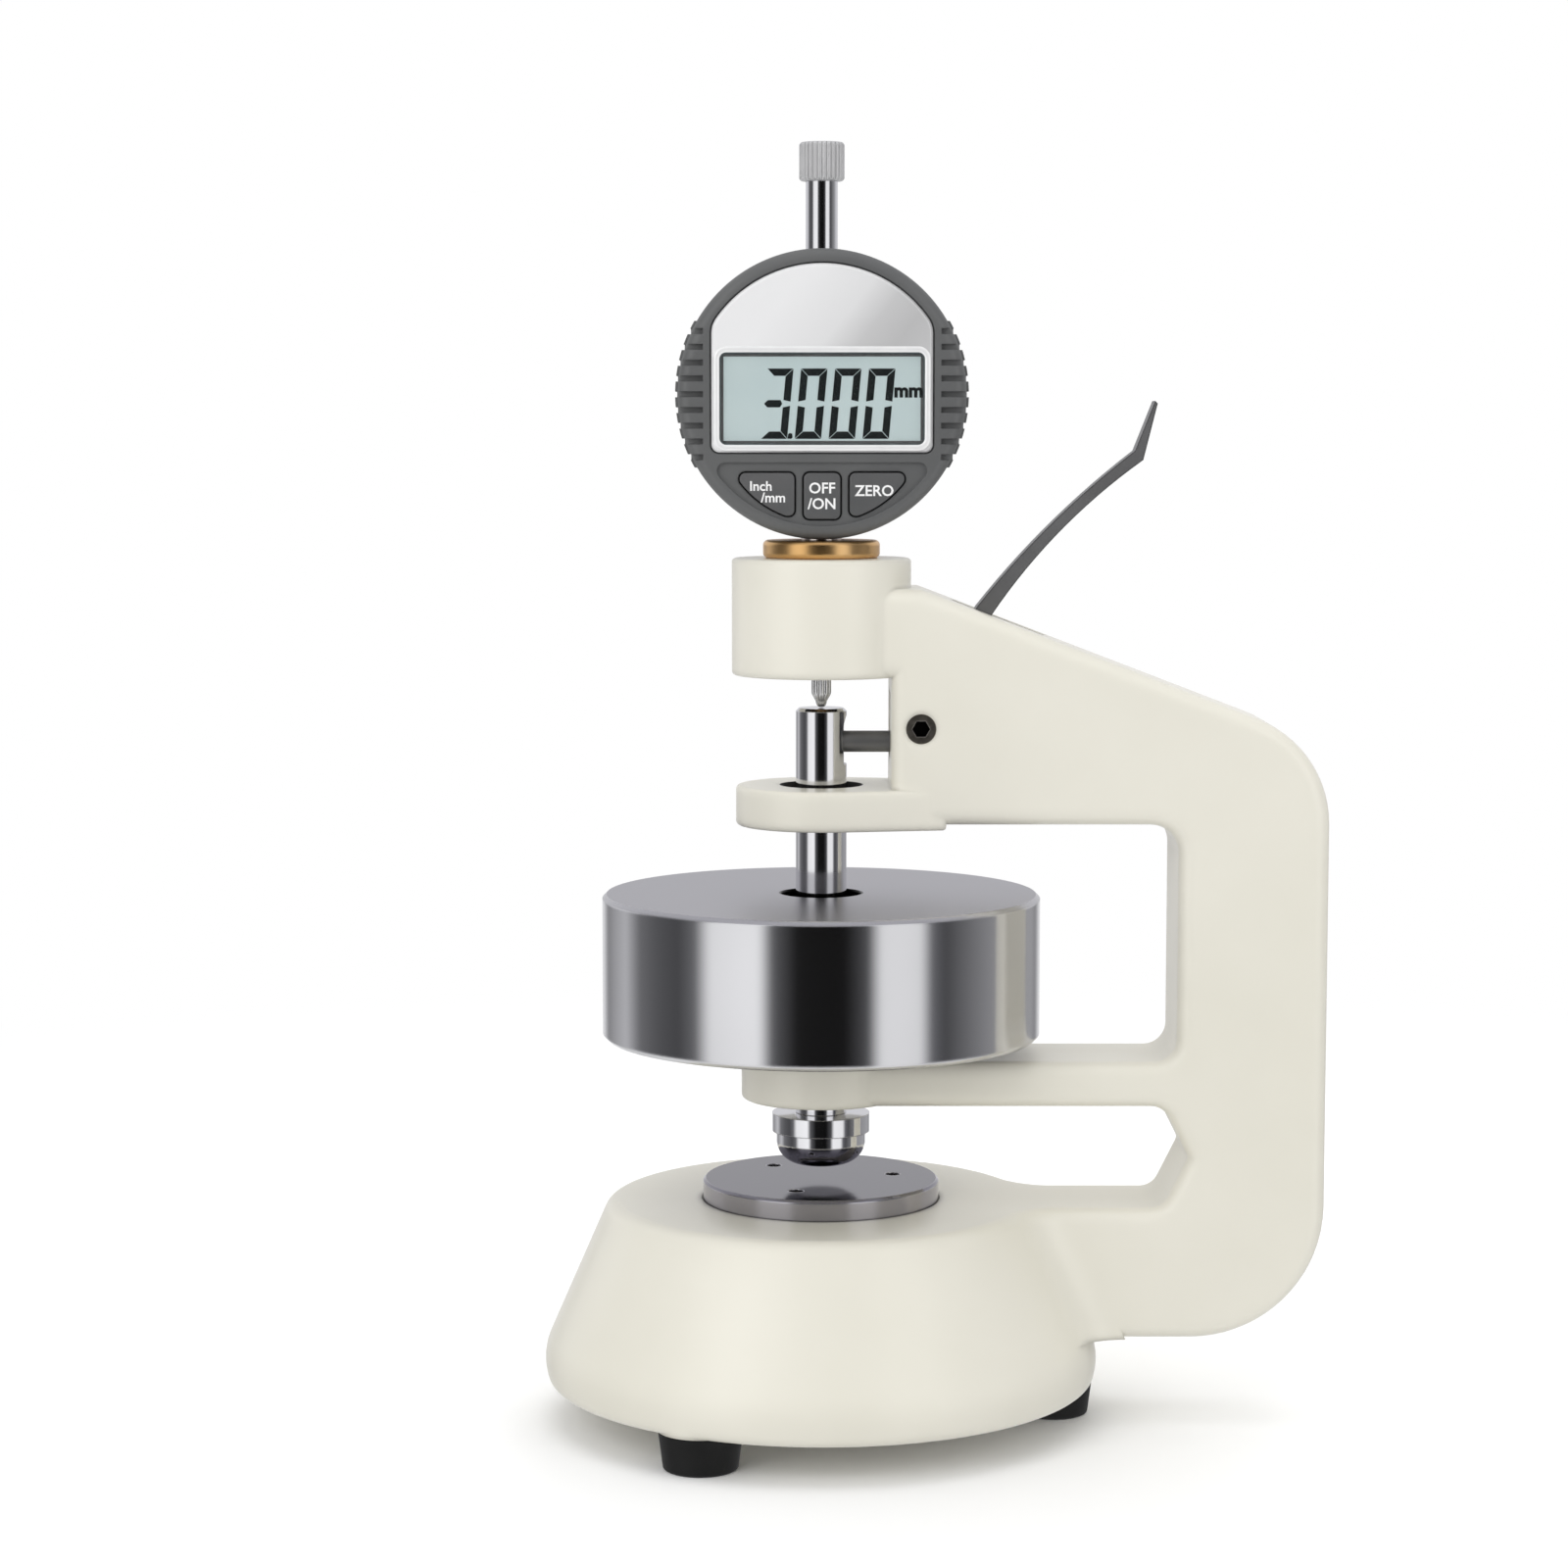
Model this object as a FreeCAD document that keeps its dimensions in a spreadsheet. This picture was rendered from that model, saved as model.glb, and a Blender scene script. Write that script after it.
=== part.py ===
"""Bench digital thickness gauge: a cast C-frame, a dead-weight spindle and a digital indicator.

Lengths are millimetres and angles degrees. X runs from the spindle towards the column, the display
faces -Y, Z is up from the table, and the origin is the middle of the footprint on the table.
"""
import FreeCAD, Part
import math
import os
import re
import Sketcher

# Driving sizes. Heights are above the table and reaches are from the spindle axis.
SIZES = [
    ("foot_height", 7.5, "table to the underside of the base"),
    ("foot_top_radius", 8.1, "rubber foot at the base"),
    ("foot_low_radius", 7.2, "rubber foot at the table"),
    ("foot_pad_radius", 8.25, "cast pad over each foot"),
    ("foot_count", 3, "feet, evenly spaced"),
    ("foot_edge_round", 0.6, "rounding of a foot at the table"),
    ("foot_well_radius", 4.4, "recess for the screw under a foot"),
    ("foot_well_deep", 4.4, "depth of that recess"),
    ("foot_screw_radius", 2.0, "foot screw"),
    ("foot_screw_head", 3.6, "head of a foot screw"),
    ("foot_screw_head_high", 2.4, "height of that head"),
    ("foot_screw_grip", 10.0, "how far a foot screw enters the base"),
    ("base_radius", 54.6, "widest part of the round base"),
    ("foot_inset", 8.6, "middle of a foot from the widest part of the base"),
    ("base_wide_height", 13.0, "height of the widest part"),
    ("base_taper", 23.6, "lean of the side of the base"),
    ("base_tuck", 14.0, "lean of the base under its widest part"),
    ("base_top", 43.5, "top of the base and of the lower arm"),
    ("base_low_round", 2.0, "rounding under the base"),
    ("base_wide_round", 11.0, "rounding round the widest part"),
    ("base_top_round", 3.2, "rounding round the top of the base"),
    ("base_relief_radius", 31.0, "shallow relief under the base"),
    ("base_relief_deep", 1.5, "depth of that relief"),
    ("root_round", 11.0, "fillet from the base into the column"),
    ("frame_thick", 26.0, "thickness of the C-frame across the display"),
    ("frame_reach", 98.2, "spindle axis to the back of the column"),
    ("column_width", 29.1, "column from front to back"),
    ("frame_underside", 17.8, "lowest face of the C-frame"),
    ("mid_arm_bottom", 63.6, "underside of the middle arm"),
    ("mid_arm_thick", 8.8, "thickness of the middle arm"),
    ("mid_arm_radius", 15.7, "round end of the middle arm"),
    ("arm_bottom", 118.8, "underside of the upper arm"),
    ("arm_top", 164.3, "top of the upper arm beside the boss"),
    ("arm_level", 19.0, "reach at which the arm starts to slope"),
    ("arm_slope", 21.0, "slope of the arm"),
    ("throat_wall", 13.4, "face of the frame behind the spindle"),
    ("throat_reach", 71.6, "point at the end of the measuring throat"),
    ("throat_point", 5.0, "length of that point"),
    ("throat_tip_round", 1.5, "rounding of its tip"),
    ("throat_round", 4.0, "rounding at the start of the point of the throat"),
    ("window_round", 5.5, "rounding under the upper arm"),
    ("nook_round", 4.5, "rounding over the middle arm"),
    ("shoulder_round", 22.0, "rounding where the arm meets the column"),
    ("heel_round", 26.0, "rounding at the foot of the column"),
    ("rim_round", 2.8, "rounding round both faces of the C-frame"),
    ("boss_radius", 17.5, "boss that holds the indicator"),
    ("boss_bottom", 147.2, "underside of the boss"),
    ("boss_top", 170.0, "top of the boss"),
    ("boss_round", 0.8, "rounding of the edges of the boss, the lug and the round arm end"),
    ("lug_radius", 16.7, "round end of the upper guide lug"),
    ("lug_bottom", 117.8, "underside of the lug"),
    ("lug_thick", 7.8, "thickness of the lug"),
    ("lug_root", 24.0, "reach at which the lug ends inside the frame"),
    ("lug_taper", 10.8, "angle at which the sides of the lug close in"),
    ("bush_radius", 8.0, "outside of both guide bushes"),
    ("bush_recess", 1.8, "how deep the upper bush sits in the lug"),
    ("spindle_radius", 5.0, "load spindle"),
    ("spindle_head", 3.2, "spindle above the lever pivot with the display at 3"),
    ("running_gap", 0.05, "radial clearance of a sliding or turning fit"),
    ("seat_gap", 0.02, "radial clearance of a fixed fit"),
    ("open_gap", 0.3, "space between pieces that pass each other"),
    ("overshoot", 1.0, "how far a cut runs out past the surface it opens"),
    ("measured_gap", 3.0, "presser foot above the anvil at rest"),
    ("lift_travel", 7.0, "how far the spindle rises from rest"),
    ("anvil_radius", 23.3, "anvil"),
    ("anvil_top", 47.5, "measuring face of the anvil"),
    ("anvil_sunk", 0.9, "how deep the anvil sits in the base"),
    ("anvil_chamfer", 0.5, "chamfer round the anvil"),
    ("anvil_under", 0.4, "chamfer under the anvil"),
    ("level_count", 3, "levelling screws, evenly spaced"),
    ("anvil_hole_circle", 14.5, "circle of the levelling screws"),
    ("anvil_hole_angle", 10.0, "angle of the first levelling screw"),
    ("anvil_hole_radius", 1.5, "levelling screw thread"),
    ("anvil_bolt_radius", 2.5, "screw that holds the anvil from below"),
    ("anvil_bolt_head", 4.25, "head of that screw"),
    ("anvil_bolt_seat", 32.0, "height of the seat of that screw"),
    ("anvil_bolt_head_high", 5.0, "height of its head"),
    ("anvil_roof", 1.6, "anvil left over the end of that screw"),
    ("level_sunk", 0.9, "how far a levelling screw lies below the measuring face"),
    ("socket_deep", 1.4, "depth of a hexagon socket"),
    ("socket_share", 0.6, "corner of a hexagon socket as a share of its screw's radius"),
    ("presser_radius", 9.65, "collar of the presser foot"),
    ("presser_collar", 3.6, "height of that collar"),
    ("presser_neck", 8.8, "presser foot under its collar"),
    ("presser_face", 5.0, "measuring face of the presser foot"),
    ("presser_high", 10.0, "height of the presser foot"),
    ("presser_bowl", 4.8, "radius of the curve up from the measuring face"),
    ("presser_bowl_high", 4.2, "height of that curve"),
    ("spigot_radius", 3.0, "threaded end of the spindle"),
    ("spigot_long", 6.0, "length of that end"),
    ("spindle_chamfer", 0.6, "chamfer at the top of the spindle"),
    ("weight_radius", 43.0, "dead weight"),
    ("weight_bottom", 76.0, "underside of the weight at rest"),
    ("weight_high", 28.2, "height of the weight"),
    ("weight_chamfer", 0.8, "chamfer of the weight"),
    ("weight_well", 8.0, "recess round the spindle in the weight"),
    ("weight_well_deep", 5.2, "depth of that recess"),
    ("shoulder_radius", 7.0, "shoulder that carries the weight"),
    ("shoulder_high", 8.0, "height of that shoulder"),
    ("ring_high", 2.4, "retaining ring on the spindle"),
    ("ring_radius", 7.4, "outside of the retaining ring"),
    ("pivot_reach", 19.1, "lever pivot"),
    ("pivot_rise", 11.9, "lever pivot above the top of the lug"),
    ("pivot_pin_radius", 1.5, "shank of the pivot screw"),
    ("pivot_head_radius", 2.9, "head of the pivot screw"),
    ("pivot_head_sunk", 4.0, "how far the head goes into the frame"),
    ("pivot_left", 3.0, "frame left behind the end of the pivot screw"),
    ("hub_radius", 5.5, "hub of the lever"),
    ("hub_room", 8.6, "room round the hub in the slot"),
    ("lever_thick", 6.0, "lever across the frame"),
    ("lever_half", 1.65, "half the depth of the lever near the hub"),
    ("lever_angle", 60.6, "angle of the lever where it leaves the frame"),
    ("lever_straight", 25.5, "hub to the place where the lever starts to curve"),
    ("knee_reach", 43.2, "outer corner of the knee from the pivot"),
    ("knee_height", 51.5, "outer corner of the knee above the pivot"),
    ("knee_back", 1.6, "inner corner of the knee short of the outer one"),
    ("knee_rise", 1.8, "inner corner of the knee above the outer one"),
    ("tip_reach", 45.9, "tip of the lever from its pivot"),
    ("tip_height", 62.9, "tip of the lever above its pivot"),
    ("tip_blunt", 0.5, "corner taken off the tip of the lever"),
    ("lever_curve", 117.0, "radius of the lower edge of the lever"),
    ("lever_top_curve", 174.0, "radius of the upper edge of the lever"),
    ("slot_beyond", 8.0, "lever slot past the straight part of the lever"),
    ("lever_lift", 21.3, "angle that the lever turns to lift the spindle fully"),
    ("lever_drop", 9.2, "angle that it turns as the spindle comes down"),
    ("rod_radius", 2.1, "lifting rod"),
    ("rod_wall", 0.6, "wall under the rod in the hub"),
    ("rod_reach", 18.7, "lever pivot to the end of the rod"),
    ("rod_drop", 3.4, "rod axis below the lever pivot"),
    ("rod_inner", 1.2, "inner end of the rod from the lever pivot"),
    ("nut_radius", 11.4, "brass clamp nut"),
    ("nut_flange", 3.5, "height of the nut above the boss"),
    ("nut_thread", 8.0, "threaded skirt of the nut"),
    ("nut_thread_deep", 8.0, "length of that skirt"),
    ("nut_round", 1.0, "rounding of the nut"),
    ("collet_radius", 7.0, "split collet round the stem"),
    ("collet_high", 9.4, "height of the collet"),
    ("collet_slit", 1.0, "width of the slit in the collet"),
    ("relief_radius", 6.2, "clear bore under the collet"),
    ("stem_radius", 4.0, "stem of the indicator"),
    ("stem_bottom", 156.0, "lower end of the stem"),
    ("dial_radius", 27.8, "indicator housing"),
    ("dial_front", 10.5, "front face of the housing from the spindle axis"),
    ("dial_back", 10.5, "back face of the cover from the spindle axis"),
    ("dial_wall", 2.8, "wall round the housing"),
    ("front_wall", 3.0, "front wall of the housing"),
    ("cover_thick", 3.5, "back cover"),
    ("dial_round", 2.4, "rounding round the front of the housing"),
    ("cover_round", 1.5, "rounding round the back cover"),
    ("post_radius", 3.2, "post for a cover screw"),
    ("post_long", 7.0, "length of that post"),
    ("stem_tail", 1.4, "stem inside the housing"),
    ("grip_radius", 28.2, "grip pads on the sides of the housing"),
    ("grip_half", 14.0, "half the height of a grip pad"),
    ("groove_pitch", 3.0, "spacing of the grip grooves"),
    ("groove_count", 9, "grooves on each side"),
    ("groove_high", 1.1, "width of a groove"),
    ("groove_deep", 1.1, "depth of a groove in the front face"),
    ("groove_side", 0.4, "depth of a groove in the side"),
    ("groove_inner", 22.8, "reach at which the grooves start"),
    ("face_radius", 24.9, "arc of the face plate"),
    ("face_half", 21.2, "half the width of the face plate"),
    ("face_low", 11.1, "lower edge of the face plate below the middle"),
    ("face_thick", 1.0, "face plate"),
    ("face_sunk", 0.8, "how deep the face plate sits"),
    ("face_round", 1.5, "rounding of its lower corners"),
    ("face_shoulder", 5.0, "rounding where its sides meet the arc"),
    ("face_bevel", 0.45, "bevel round its edges"),
    ("face_gap", 0.3, "shadow gap round the face plate"),
    ("window_half", 19.7, "half the width of the display window"),
    ("window_low", 9.7, "lower edge of the window below the middle"),
    ("window_high", 8.0, "upper edge of the window above the middle"),
    ("glass_round", 1.2, "rounding of the corners of the window"),
    ("window_thick", 0.6, "display window"),
    ("window_ledge", 0.8, "ledge that the window rests on"),
    ("screen_thick", 1.7, "display behind the window"),
    ("panel_top", 13.0, "upper edge of the button panel below the middle"),
    ("panel_radius", 25.2, "arc of the button panel"),
    ("panel_round", 1.6, "rounding of the corners of the button panel"),
    ("panel_sunk", 0.6, "depth of the button panel"),
    ("button_top", 15.0, "upper edge of the buttons below the middle"),
    ("side_button_near", 5.3, "near edge of an outer button"),
    ("side_button_far", 15.8, "far edge of an outer button"),
    ("side_button_low", 23.2, "lower edge of an outer button"),
    ("mid_button_half", 3.5, "half the width of the middle button"),
    ("mid_button_low", 23.8, "lower edge of the middle button"),
    ("button_travel", 0.6, "press of a button"),
    ("button_proud", 0.5, "how far a button stands above its panel"),
    ("button_lip", 0.5, "lip that keeps a button in the housing"),
    ("button_lip_thick", 0.6, "thickness of that lip"),
    ("button_gap", 0.3, "gap round a button"),
    ("button_round", 1.1, "rounding of the button corners"),
    ("button_arc", 19.0, "curve of the outer buttons along the rim"),
    ("button_nose", 1.6, "flat end of an outer button"),
    ("nose_turn", 9.8, "half the turn from that end into the curve"),
    ("cheek_turn", 18.2, "half the turn from the curve into the far edge"),
    ("board_thick", 1.0, "circuit board"),
    ("dome_radius", 2.0, "switch dome behind a button"),
    ("dome_drop", 3.0, "middle of an outer dome below the top of its button"),
    ("dome_high", 0.25, "height of a switch dome"),
    ("plunger_radius", 2.25, "plunger in the stem"),
    ("plunger_top_radius", 3.1, "plunger above the housing"),
    ("plunger_step", 12.0, "height of the step in the plunger above the middle"),
    ("plunger_show", 13.2, "plunger above the housing up to the lifting cap"),
    ("tip_high", 6.7, "length of the contact point"),
    ("tip_radius", 2.0, "contact point where it meets the plunger"),
    ("tip_ball", 1.1, "end of the contact point"),
    ("tip_cone", 2.7, "length of the tapered part of the contact point"),
    ("tip_gap", 0.1, "contact point above the spindle"),
    ("tip_thread_radius", 1.2, "threaded end of the contact point"),
    ("tip_thread", 3.0, "length of that end"),
    ("cap_high", 7.4, "lifting cap"),
    ("cap_radius", 4.4, "lifting cap"),
    ("cap_thread_radius", 1.75, "thread that holds the cap"),
    ("cap_thread", 5.0, "length of that thread"),
    ("cap_chamfer", 0.4, "chamfer of the cap"),
    ("slider_half", 5.0, "half the width of the measuring slider"),
    ("slider_low", 10.0, "lower face of the slider below the middle"),
    ("slider_high", 8.0, "height of the slider"),
    ("spring_wire", 0.45, "plunger spring wire"),
    ("spring_radius", 3.85, "middle of the spring wire from the plunger axis"),
    ("spring_turns", 9, "turns of the plunger spring"),
    ("slider_back", 3.6, "back of the slider behind the plunger axis"),
    ("cell_radius", 10.0, "coin cell"),
    ("cell_thick", 2.5, "coin cell"),
    ("lid_radius", 11.6, "battery lid"),
    ("lid_thick", 1.6, "battery lid"),
    ("lid_slot_half", 6.0, "half the length of the coin slot in the lid"),
    ("lid_slot_wide", 1.6, "width of that slot"),
    ("lid_slot_deep", 0.8, "depth of that slot"),
    ("cell_well_wall", 1.2, "wall round the battery well inside the cover"),
    ("cell_well_deep", 1.5, "how far that well stands into the housing"),
    ("cover_screw_circle", 22.2, "circle of the cover screws"),
    ("cover_screw_radius", 1.1, "cover screw thread"),
    ("cover_screw_head", 2.0, "cover screw head"),
    ("cover_screw_head_high", 1.2, "height of that head"),
    ("cover_screw_long", 7.0, "length of a cover screw"),
    ("cover_screw_count", 4, "cover screws, evenly spaced"),
]

# Lengths that follow from the driving sizes.
DERIVED = [
    ("spindle_x", "(base_radius - frame_reach) / 2", "spindle axis from the middle of the footprint"),
    ("foot_circle", "base_radius - foot_inset", "radius that the three feet stand on"),
    ("half_thick", "frame_thick / 2", "half the frame"),
    ("base_corner_share", "(sin(base_taper) + sin(base_tuck)) / sin(base_taper + base_tuck)",
     "distance of the sharp corner of the base for each unit of rounding"),
    ("base_corner", "base_radius + base_wide_round * (base_corner_share - 1)",
     "widest part of the base before rounding"),
    ("base_top_radius", "base_corner - (base_top - base_wide_height) * tan(base_taper)",
     "base at its top edge before rounding"),
    ("base_low_radius", "base_corner - (base_wide_height - foot_height) * tan(base_tuck)",
     "underside of the base before rounding"),
    ("column_inside", "frame_reach - column_width", "inner face of the column"),
    ("mid_arm_top", "mid_arm_bottom + mid_arm_thick", "top of the middle arm"),
    ("lug_top", "lug_bottom + lug_thick", "top of the lug"),
    ("lug_side", "lug_radius * cos(lug_taper)", "half the lug where its sides leave the round end"),
    ("lug_side_reach", "lug_radius * sin(lug_taper)", "reach at which they leave it"),
    ("lug_end", "lug_side - (lug_root - lug_side_reach) * tan(lug_taper)", "half the lug at its end"),
    ("pivot_height", "lug_top + pivot_rise", "lever pivot above the table"),
    ("spindle_top", "pivot_height + spindle_head", "top of the spindle with the display at 3"),
    ("shoulder_drop", "(frame_reach - arm_level) * tan(arm_slope)", "fall of the sloping arm"),
    ("anvil_bottom", "base_top - anvil_sunk", "seat of the anvil"),
    ("presser_bottom", "anvil_top + measured_gap", "measuring face at rest"),
    ("presser_top", "presser_bottom + presser_high", "top of the presser foot"),
    ("presser_well", "presser_top + lift_travel + open_gap", "roof over the lifted presser foot"),
    ("shoulder_top", "weight_bottom + open_gap + shoulder_high", "seat of the weight"),
    ("weight_top", "weight_bottom + weight_high", "top of the weight"),
    ("well_floor", "weight_top - weight_well_deep", "floor of the recess in the weight"),
    ("collet_bottom", "boss_top - nut_thread_deep - collet_high", "seat of the collet"),
    ("slot_half", "lever_thick / 2 + open_gap", "half the width of the lever slot"),
    ("nut_top", "boss_top + nut_flange", "top of the clamp nut"),
    ("dial_middle", "nut_top + open_gap + dial_radius", "middle of the indicator"),
    ("cavity_radius", "dial_radius - dial_wall", "inside of the housing"),
    ("split", "dial_back - cover_thick", "plane where the back cover meets the housing"),
    ("cavity_deep", "split + dial_front - front_wall", "depth of the housing"),
    ("inner_front", "dial_front - front_wall", "inside of the front wall from the spindle axis"),
    ("face_seat", "dial_front - face_sunk", "seat of the face plate and the window"),
    ("panel_seat", "dial_front - panel_sunk", "floor of the button panel"),
    ("button_back", "inner_front - running_gap - button_lip_thick", "back of a button's lip"),
    ("board_front", "button_back - button_travel - dome_high - seat_gap", "front of the circuit board"),
    ("plunger_bottom", "spindle_top + tip_gap + tip_high", "lower end of the plunger"),
    ("plunger_top", "dial_middle + dial_radius + plunger_show", "upper end of the plunger"),
    ("overall_height", "plunger_top + cap_high", "top of the lifting cap"),
]

SAME = 1e-4  # coordinates closer than this are the same

document = FreeCAD.newDocument("ThicknessGauge")
sheet = document.addObject("Spreadsheet::Sheet", "Sizes")
ALIASES = [row[0] for row in SIZES + DERIVED]


def bound(text):
    """Turn plain size names in a formula into references to the sheet."""
    return re.sub(r"[a-z_]+", lambda m: "Sizes." + m[0] if m[0] in ALIASES else m[0], text)


def fill_sheet():
    """Write each size, its name and its meaning on a row of the sheet."""
    for row, (alias, value, meaning) in enumerate(SIZES + DERIVED, 1):
        sheet.set(f"A{row}", alias)
        sheet.setAlias(f"B{row}", alias)
        derived = isinstance(value, str)
        sheet.set(f"B{row}", "=" + value if derived else str(value))
        sheet.set(f"C{row}", meaning)
    document.recompute()


def value(formula):
    """Work out a formula of sizes as a number."""
    return float(sheet.evalExpression(bound(formula)))


fill_sheet()


def new_body(name, z="0", x="0", y="0"):
    """Start a piece whose own origin is on the spindle axis, moved by x, y and z."""
    body = document.addObject("PartDesign::Body", name)
    body.Label = name
    body.setExpression("Placement.Base.x", bound(f"spindle_x + ({x})"))
    body.setExpression("Placement.Base.y", bound(y))
    body.setExpression("Placement.Base.z", bound(z))
    return body


def new_share(name):
    """Start a body that is fused into another one later, and so shares that one's own origin."""
    body = document.addObject("PartDesign::Body", name)
    body.Label = name
    return body


def new_sketch(body, name, plane="XZ_Plane", offset="0"):
    """Attach a sketch to a plane of the body's origin; XZ sketches move towards -Y."""
    sketch = body.newObject("Sketcher::SketchObject", name)
    support = [feature for feature in body.Origin.OriginFeatures if feature.Role == plane][0]
    sketch.AttachmentSupport = [(support, "")]
    sketch.MapMode = "FlatFace"
    sketch.setExpression("AttachmentOffset.Base.z", bound(offset))
    return sketch


def fix_point(sketch, curve, end, x, y):
    """Tie one end of a curve to formulas for its place in the sketch."""
    for kind, formula in (("DistanceX", x), ("DistanceY", y)):
        at = sketch.addConstraint(Sketcher.Constraint(kind, -1, 1, curve, end, value(formula)))
        sketch.setExpression(f"Constraints[{at}]", bound(formula))


def fix_radius(sketch, curve, formula):
    """Tie the radius of a circle or an arc to a formula."""
    at = sketch.addConstraint(Sketcher.Constraint("Radius", curve, value(formula)))
    sketch.setExpression(f"Constraints[{at}]", bound(formula))


def arc_between(start, end, radius, turn):
    """Arc from start to end that turns left (+1) or right (-1) on its shorter way."""
    chord = end - start
    rise = math.sqrt(max(radius ** 2 - chord.Length ** 2 / 4, 0))
    left = FreeCAD.Vector(-chord.y, chord.x, 0).normalize()
    centre = (start + end) / 2 + left * rise * turn
    first, last = (start, end) if turn > 0 else (end, start)
    angles = [math.atan2(point.y - centre.y, point.x - centre.x) for point in (first, last)]
    circle = Part.Circle(centre, FreeCAD.Vector(0, 0, 1), radius)
    return Part.ArcOfCircle(circle, angles[0], angles[1])


def add_loop(sketch, corners):
    """Draw a closed loop. A corner is (x, y), or (x, y, radius, turn) when an arc leads to it."""
    points = [FreeCAD.Vector(value(corner[0]), value(corner[1]), 0) for corner in corners]
    ends = []
    for index, corner in enumerate(corners):
        start, end = points[index - 1], points[index]
        if len(corner) == 2:
            curve = sketch.addGeometry(Part.LineSegment(start, end), False)
            ends.append((curve, 1, 2))
        else:
            curve = sketch.addGeometry(arc_between(start, end, value(corner[2]), corner[3]), False)
            ends.append((curve, 1, 2) if corner[3] > 0 else (curve, 2, 1))
    for index, corner in enumerate(corners):
        curve, _, last = ends[index]
        following, first, _ = ends[(index + 1) % len(corners)]
        sketch.addConstraint(Sketcher.Constraint("Coincident", curve, last, following, first))
        fix_point(sketch, curve, last, corner[0], corner[1])
        if len(corner) == 4:
            fix_radius(sketch, curve, corner[2])


def add_circle(sketch, x, y, radius):
    """Draw a circle about a point, all three given as formulas."""
    centre = FreeCAD.Vector(value(x), value(y), 0)
    circle = Part.Circle(centre, FreeCAD.Vector(0, 0, 1), value(radius))
    curve = sketch.addGeometry(circle, False)
    fix_point(sketch, curve, 3, x, y)
    fix_radius(sketch, curve, radius)


def box_loop(left, right, low, high):
    """Corners of a rectangle."""
    return [(left, low), (right, low), (right, high), (left, high)]


def hexagon(radius):
    """Corners of a hexagon about the origin, from the radius of its corners."""
    return [(f"({radius}) * cos({60 * n})", f"({radius}) * sin({60 * n})") for n in range(6)]


def on_circle(radius, count, first="0"):
    """Places spaced evenly round a circle, as pairs of formulas."""
    turns = [f"({first} + {n} * 360 / {count})" for n in range(int(value(count)))]
    return [(f"{radius} * cos({turn})", f"{radius} * sin({turn})") for turn in turns]


def extrude(kind, body, name, sketch, length, middle=False, back=False):
    """Pad or pocket a sketch by a formula, about its plane or to one side."""
    feature = body.newObject("PartDesign::" + kind, name)
    feature.Profile = sketch
    feature.setExpression("Length", bound(length))
    feature.Midplane = middle
    feature.Reversed = back
    document.recompute()
    return feature


def revolve(kind, body, name, corners, plane="XZ_Plane"):
    """Turn an outline of (radius, height) corners once round the height axis."""
    sketch = new_sketch(body, name + "_outline", plane)
    add_loop(sketch, corners)
    feature = body.newObject("PartDesign::" + kind, name)
    feature.Profile = sketch
    feature.ReferenceAxis = (sketch, ["V_Axis"])
    feature.Angle = 360
    document.recompute()
    return feature


def dress(kind, body, name, amount, chosen):
    """Fillet or chamfer the edges of the newest shape that the test picks."""
    base = body.Tip
    edges = [f"Edge{n}" for n, edge in enumerate(base.Shape.Edges, 1) if chosen(edge)]
    feature = body.newObject("PartDesign::" + kind, name)
    feature.Base = (base, edges)
    feature.setExpression("Radius" if kind == "Fillet" else "Size", bound(amount))
    document.recompute()
    return feature


def join(body, name, others):
    """Fuse other bodies, modelled in the same place, into this one."""
    feature = body.newObject("PartDesign::Boolean", name)
    feature.setObjects(others)
    feature.Type = "Fuse"
    document.recompute()
    return feature


def near(number, formula):
    """Whether a coordinate is where the formula says."""
    return abs(number - value(formula)) < SAME


def is_level(edge, z):
    """Whether an edge lies in a level plane at this height."""
    return near(edge.BoundBox.ZMin, z) and near(edge.BoundBox.ZMax, z)


def is_ring(edge, radius, z):
    """Whether an edge is a level circle of this radius at this height."""
    return is_level(edge, z) and isinstance(edge.Curve, Part.Circle) and near(edge.Curve.Radius, radius)


def in_depth(edge, y):
    """Whether an edge lies in an upright plane at this depth."""
    return near(edge.BoundBox.YMin, y) and near(edge.BoundBox.YMax, y)


def is_corner(edge, x, z):
    """Whether an edge runs straight across the piece, along Y, at this reach and height."""
    return is_crosswise(edge) and near(edge.BoundBox.XMin, x) and near(edge.BoundBox.ZMin, z)


def is_crosswise(edge):
    """Whether an edge is a straight line along Y."""
    box = edge.BoundBox
    return box.YLength > SAME and box.XLength < SAME and box.ZLength < SAME


def turned(name, corners, z="0", x="0", y="0"):
    """Make a piece that is turned on a lathe round an upright axis."""
    body = new_body(name, z, x, y)
    revolve("Revolution", body, name + "_turned", corners)
    return body


def together(name, bodies):
    """Keep identical pieces as separate solids of one node."""
    compound = document.addObject("Part::Compound", name)
    compound.Label = name
    compound.Links = bodies
    document.recompute()
    return compound


def add_frame():
    """Casting: round base, C-frame, indicator boss, spindle lug and middle arm in one piece."""
    body = add_base("frame_casting")
    join(body, "casting", [add_c_frame(), add_boss(), add_lug(), add_arm_end()])
    cut_frame_bores(body)
    cut_lever_slot(body)
    return body


def root_outline(body, name, z, radius):
    """Plan of the fillet between the round base and the C-frame at one height."""
    sketch = new_sketch(body, name, "XY_Plane", z)
    reach = f"sqrt(({radius} + root_round)^2 - (half_thick + root_round)^2)"
    share = f"({radius}) / ({radius} + root_round)"
    side = f"(half_thick + root_round) * {share}"
    add_loop(sketch, [
        (f"{reach} * {share}", f"0 - {side}"), (reach, "0 - half_thick", "root_round", -1),
        (reach, "half_thick"), (f"{reach} * {share}", side, "root_round", -1),
    ])
    return sketch


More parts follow.
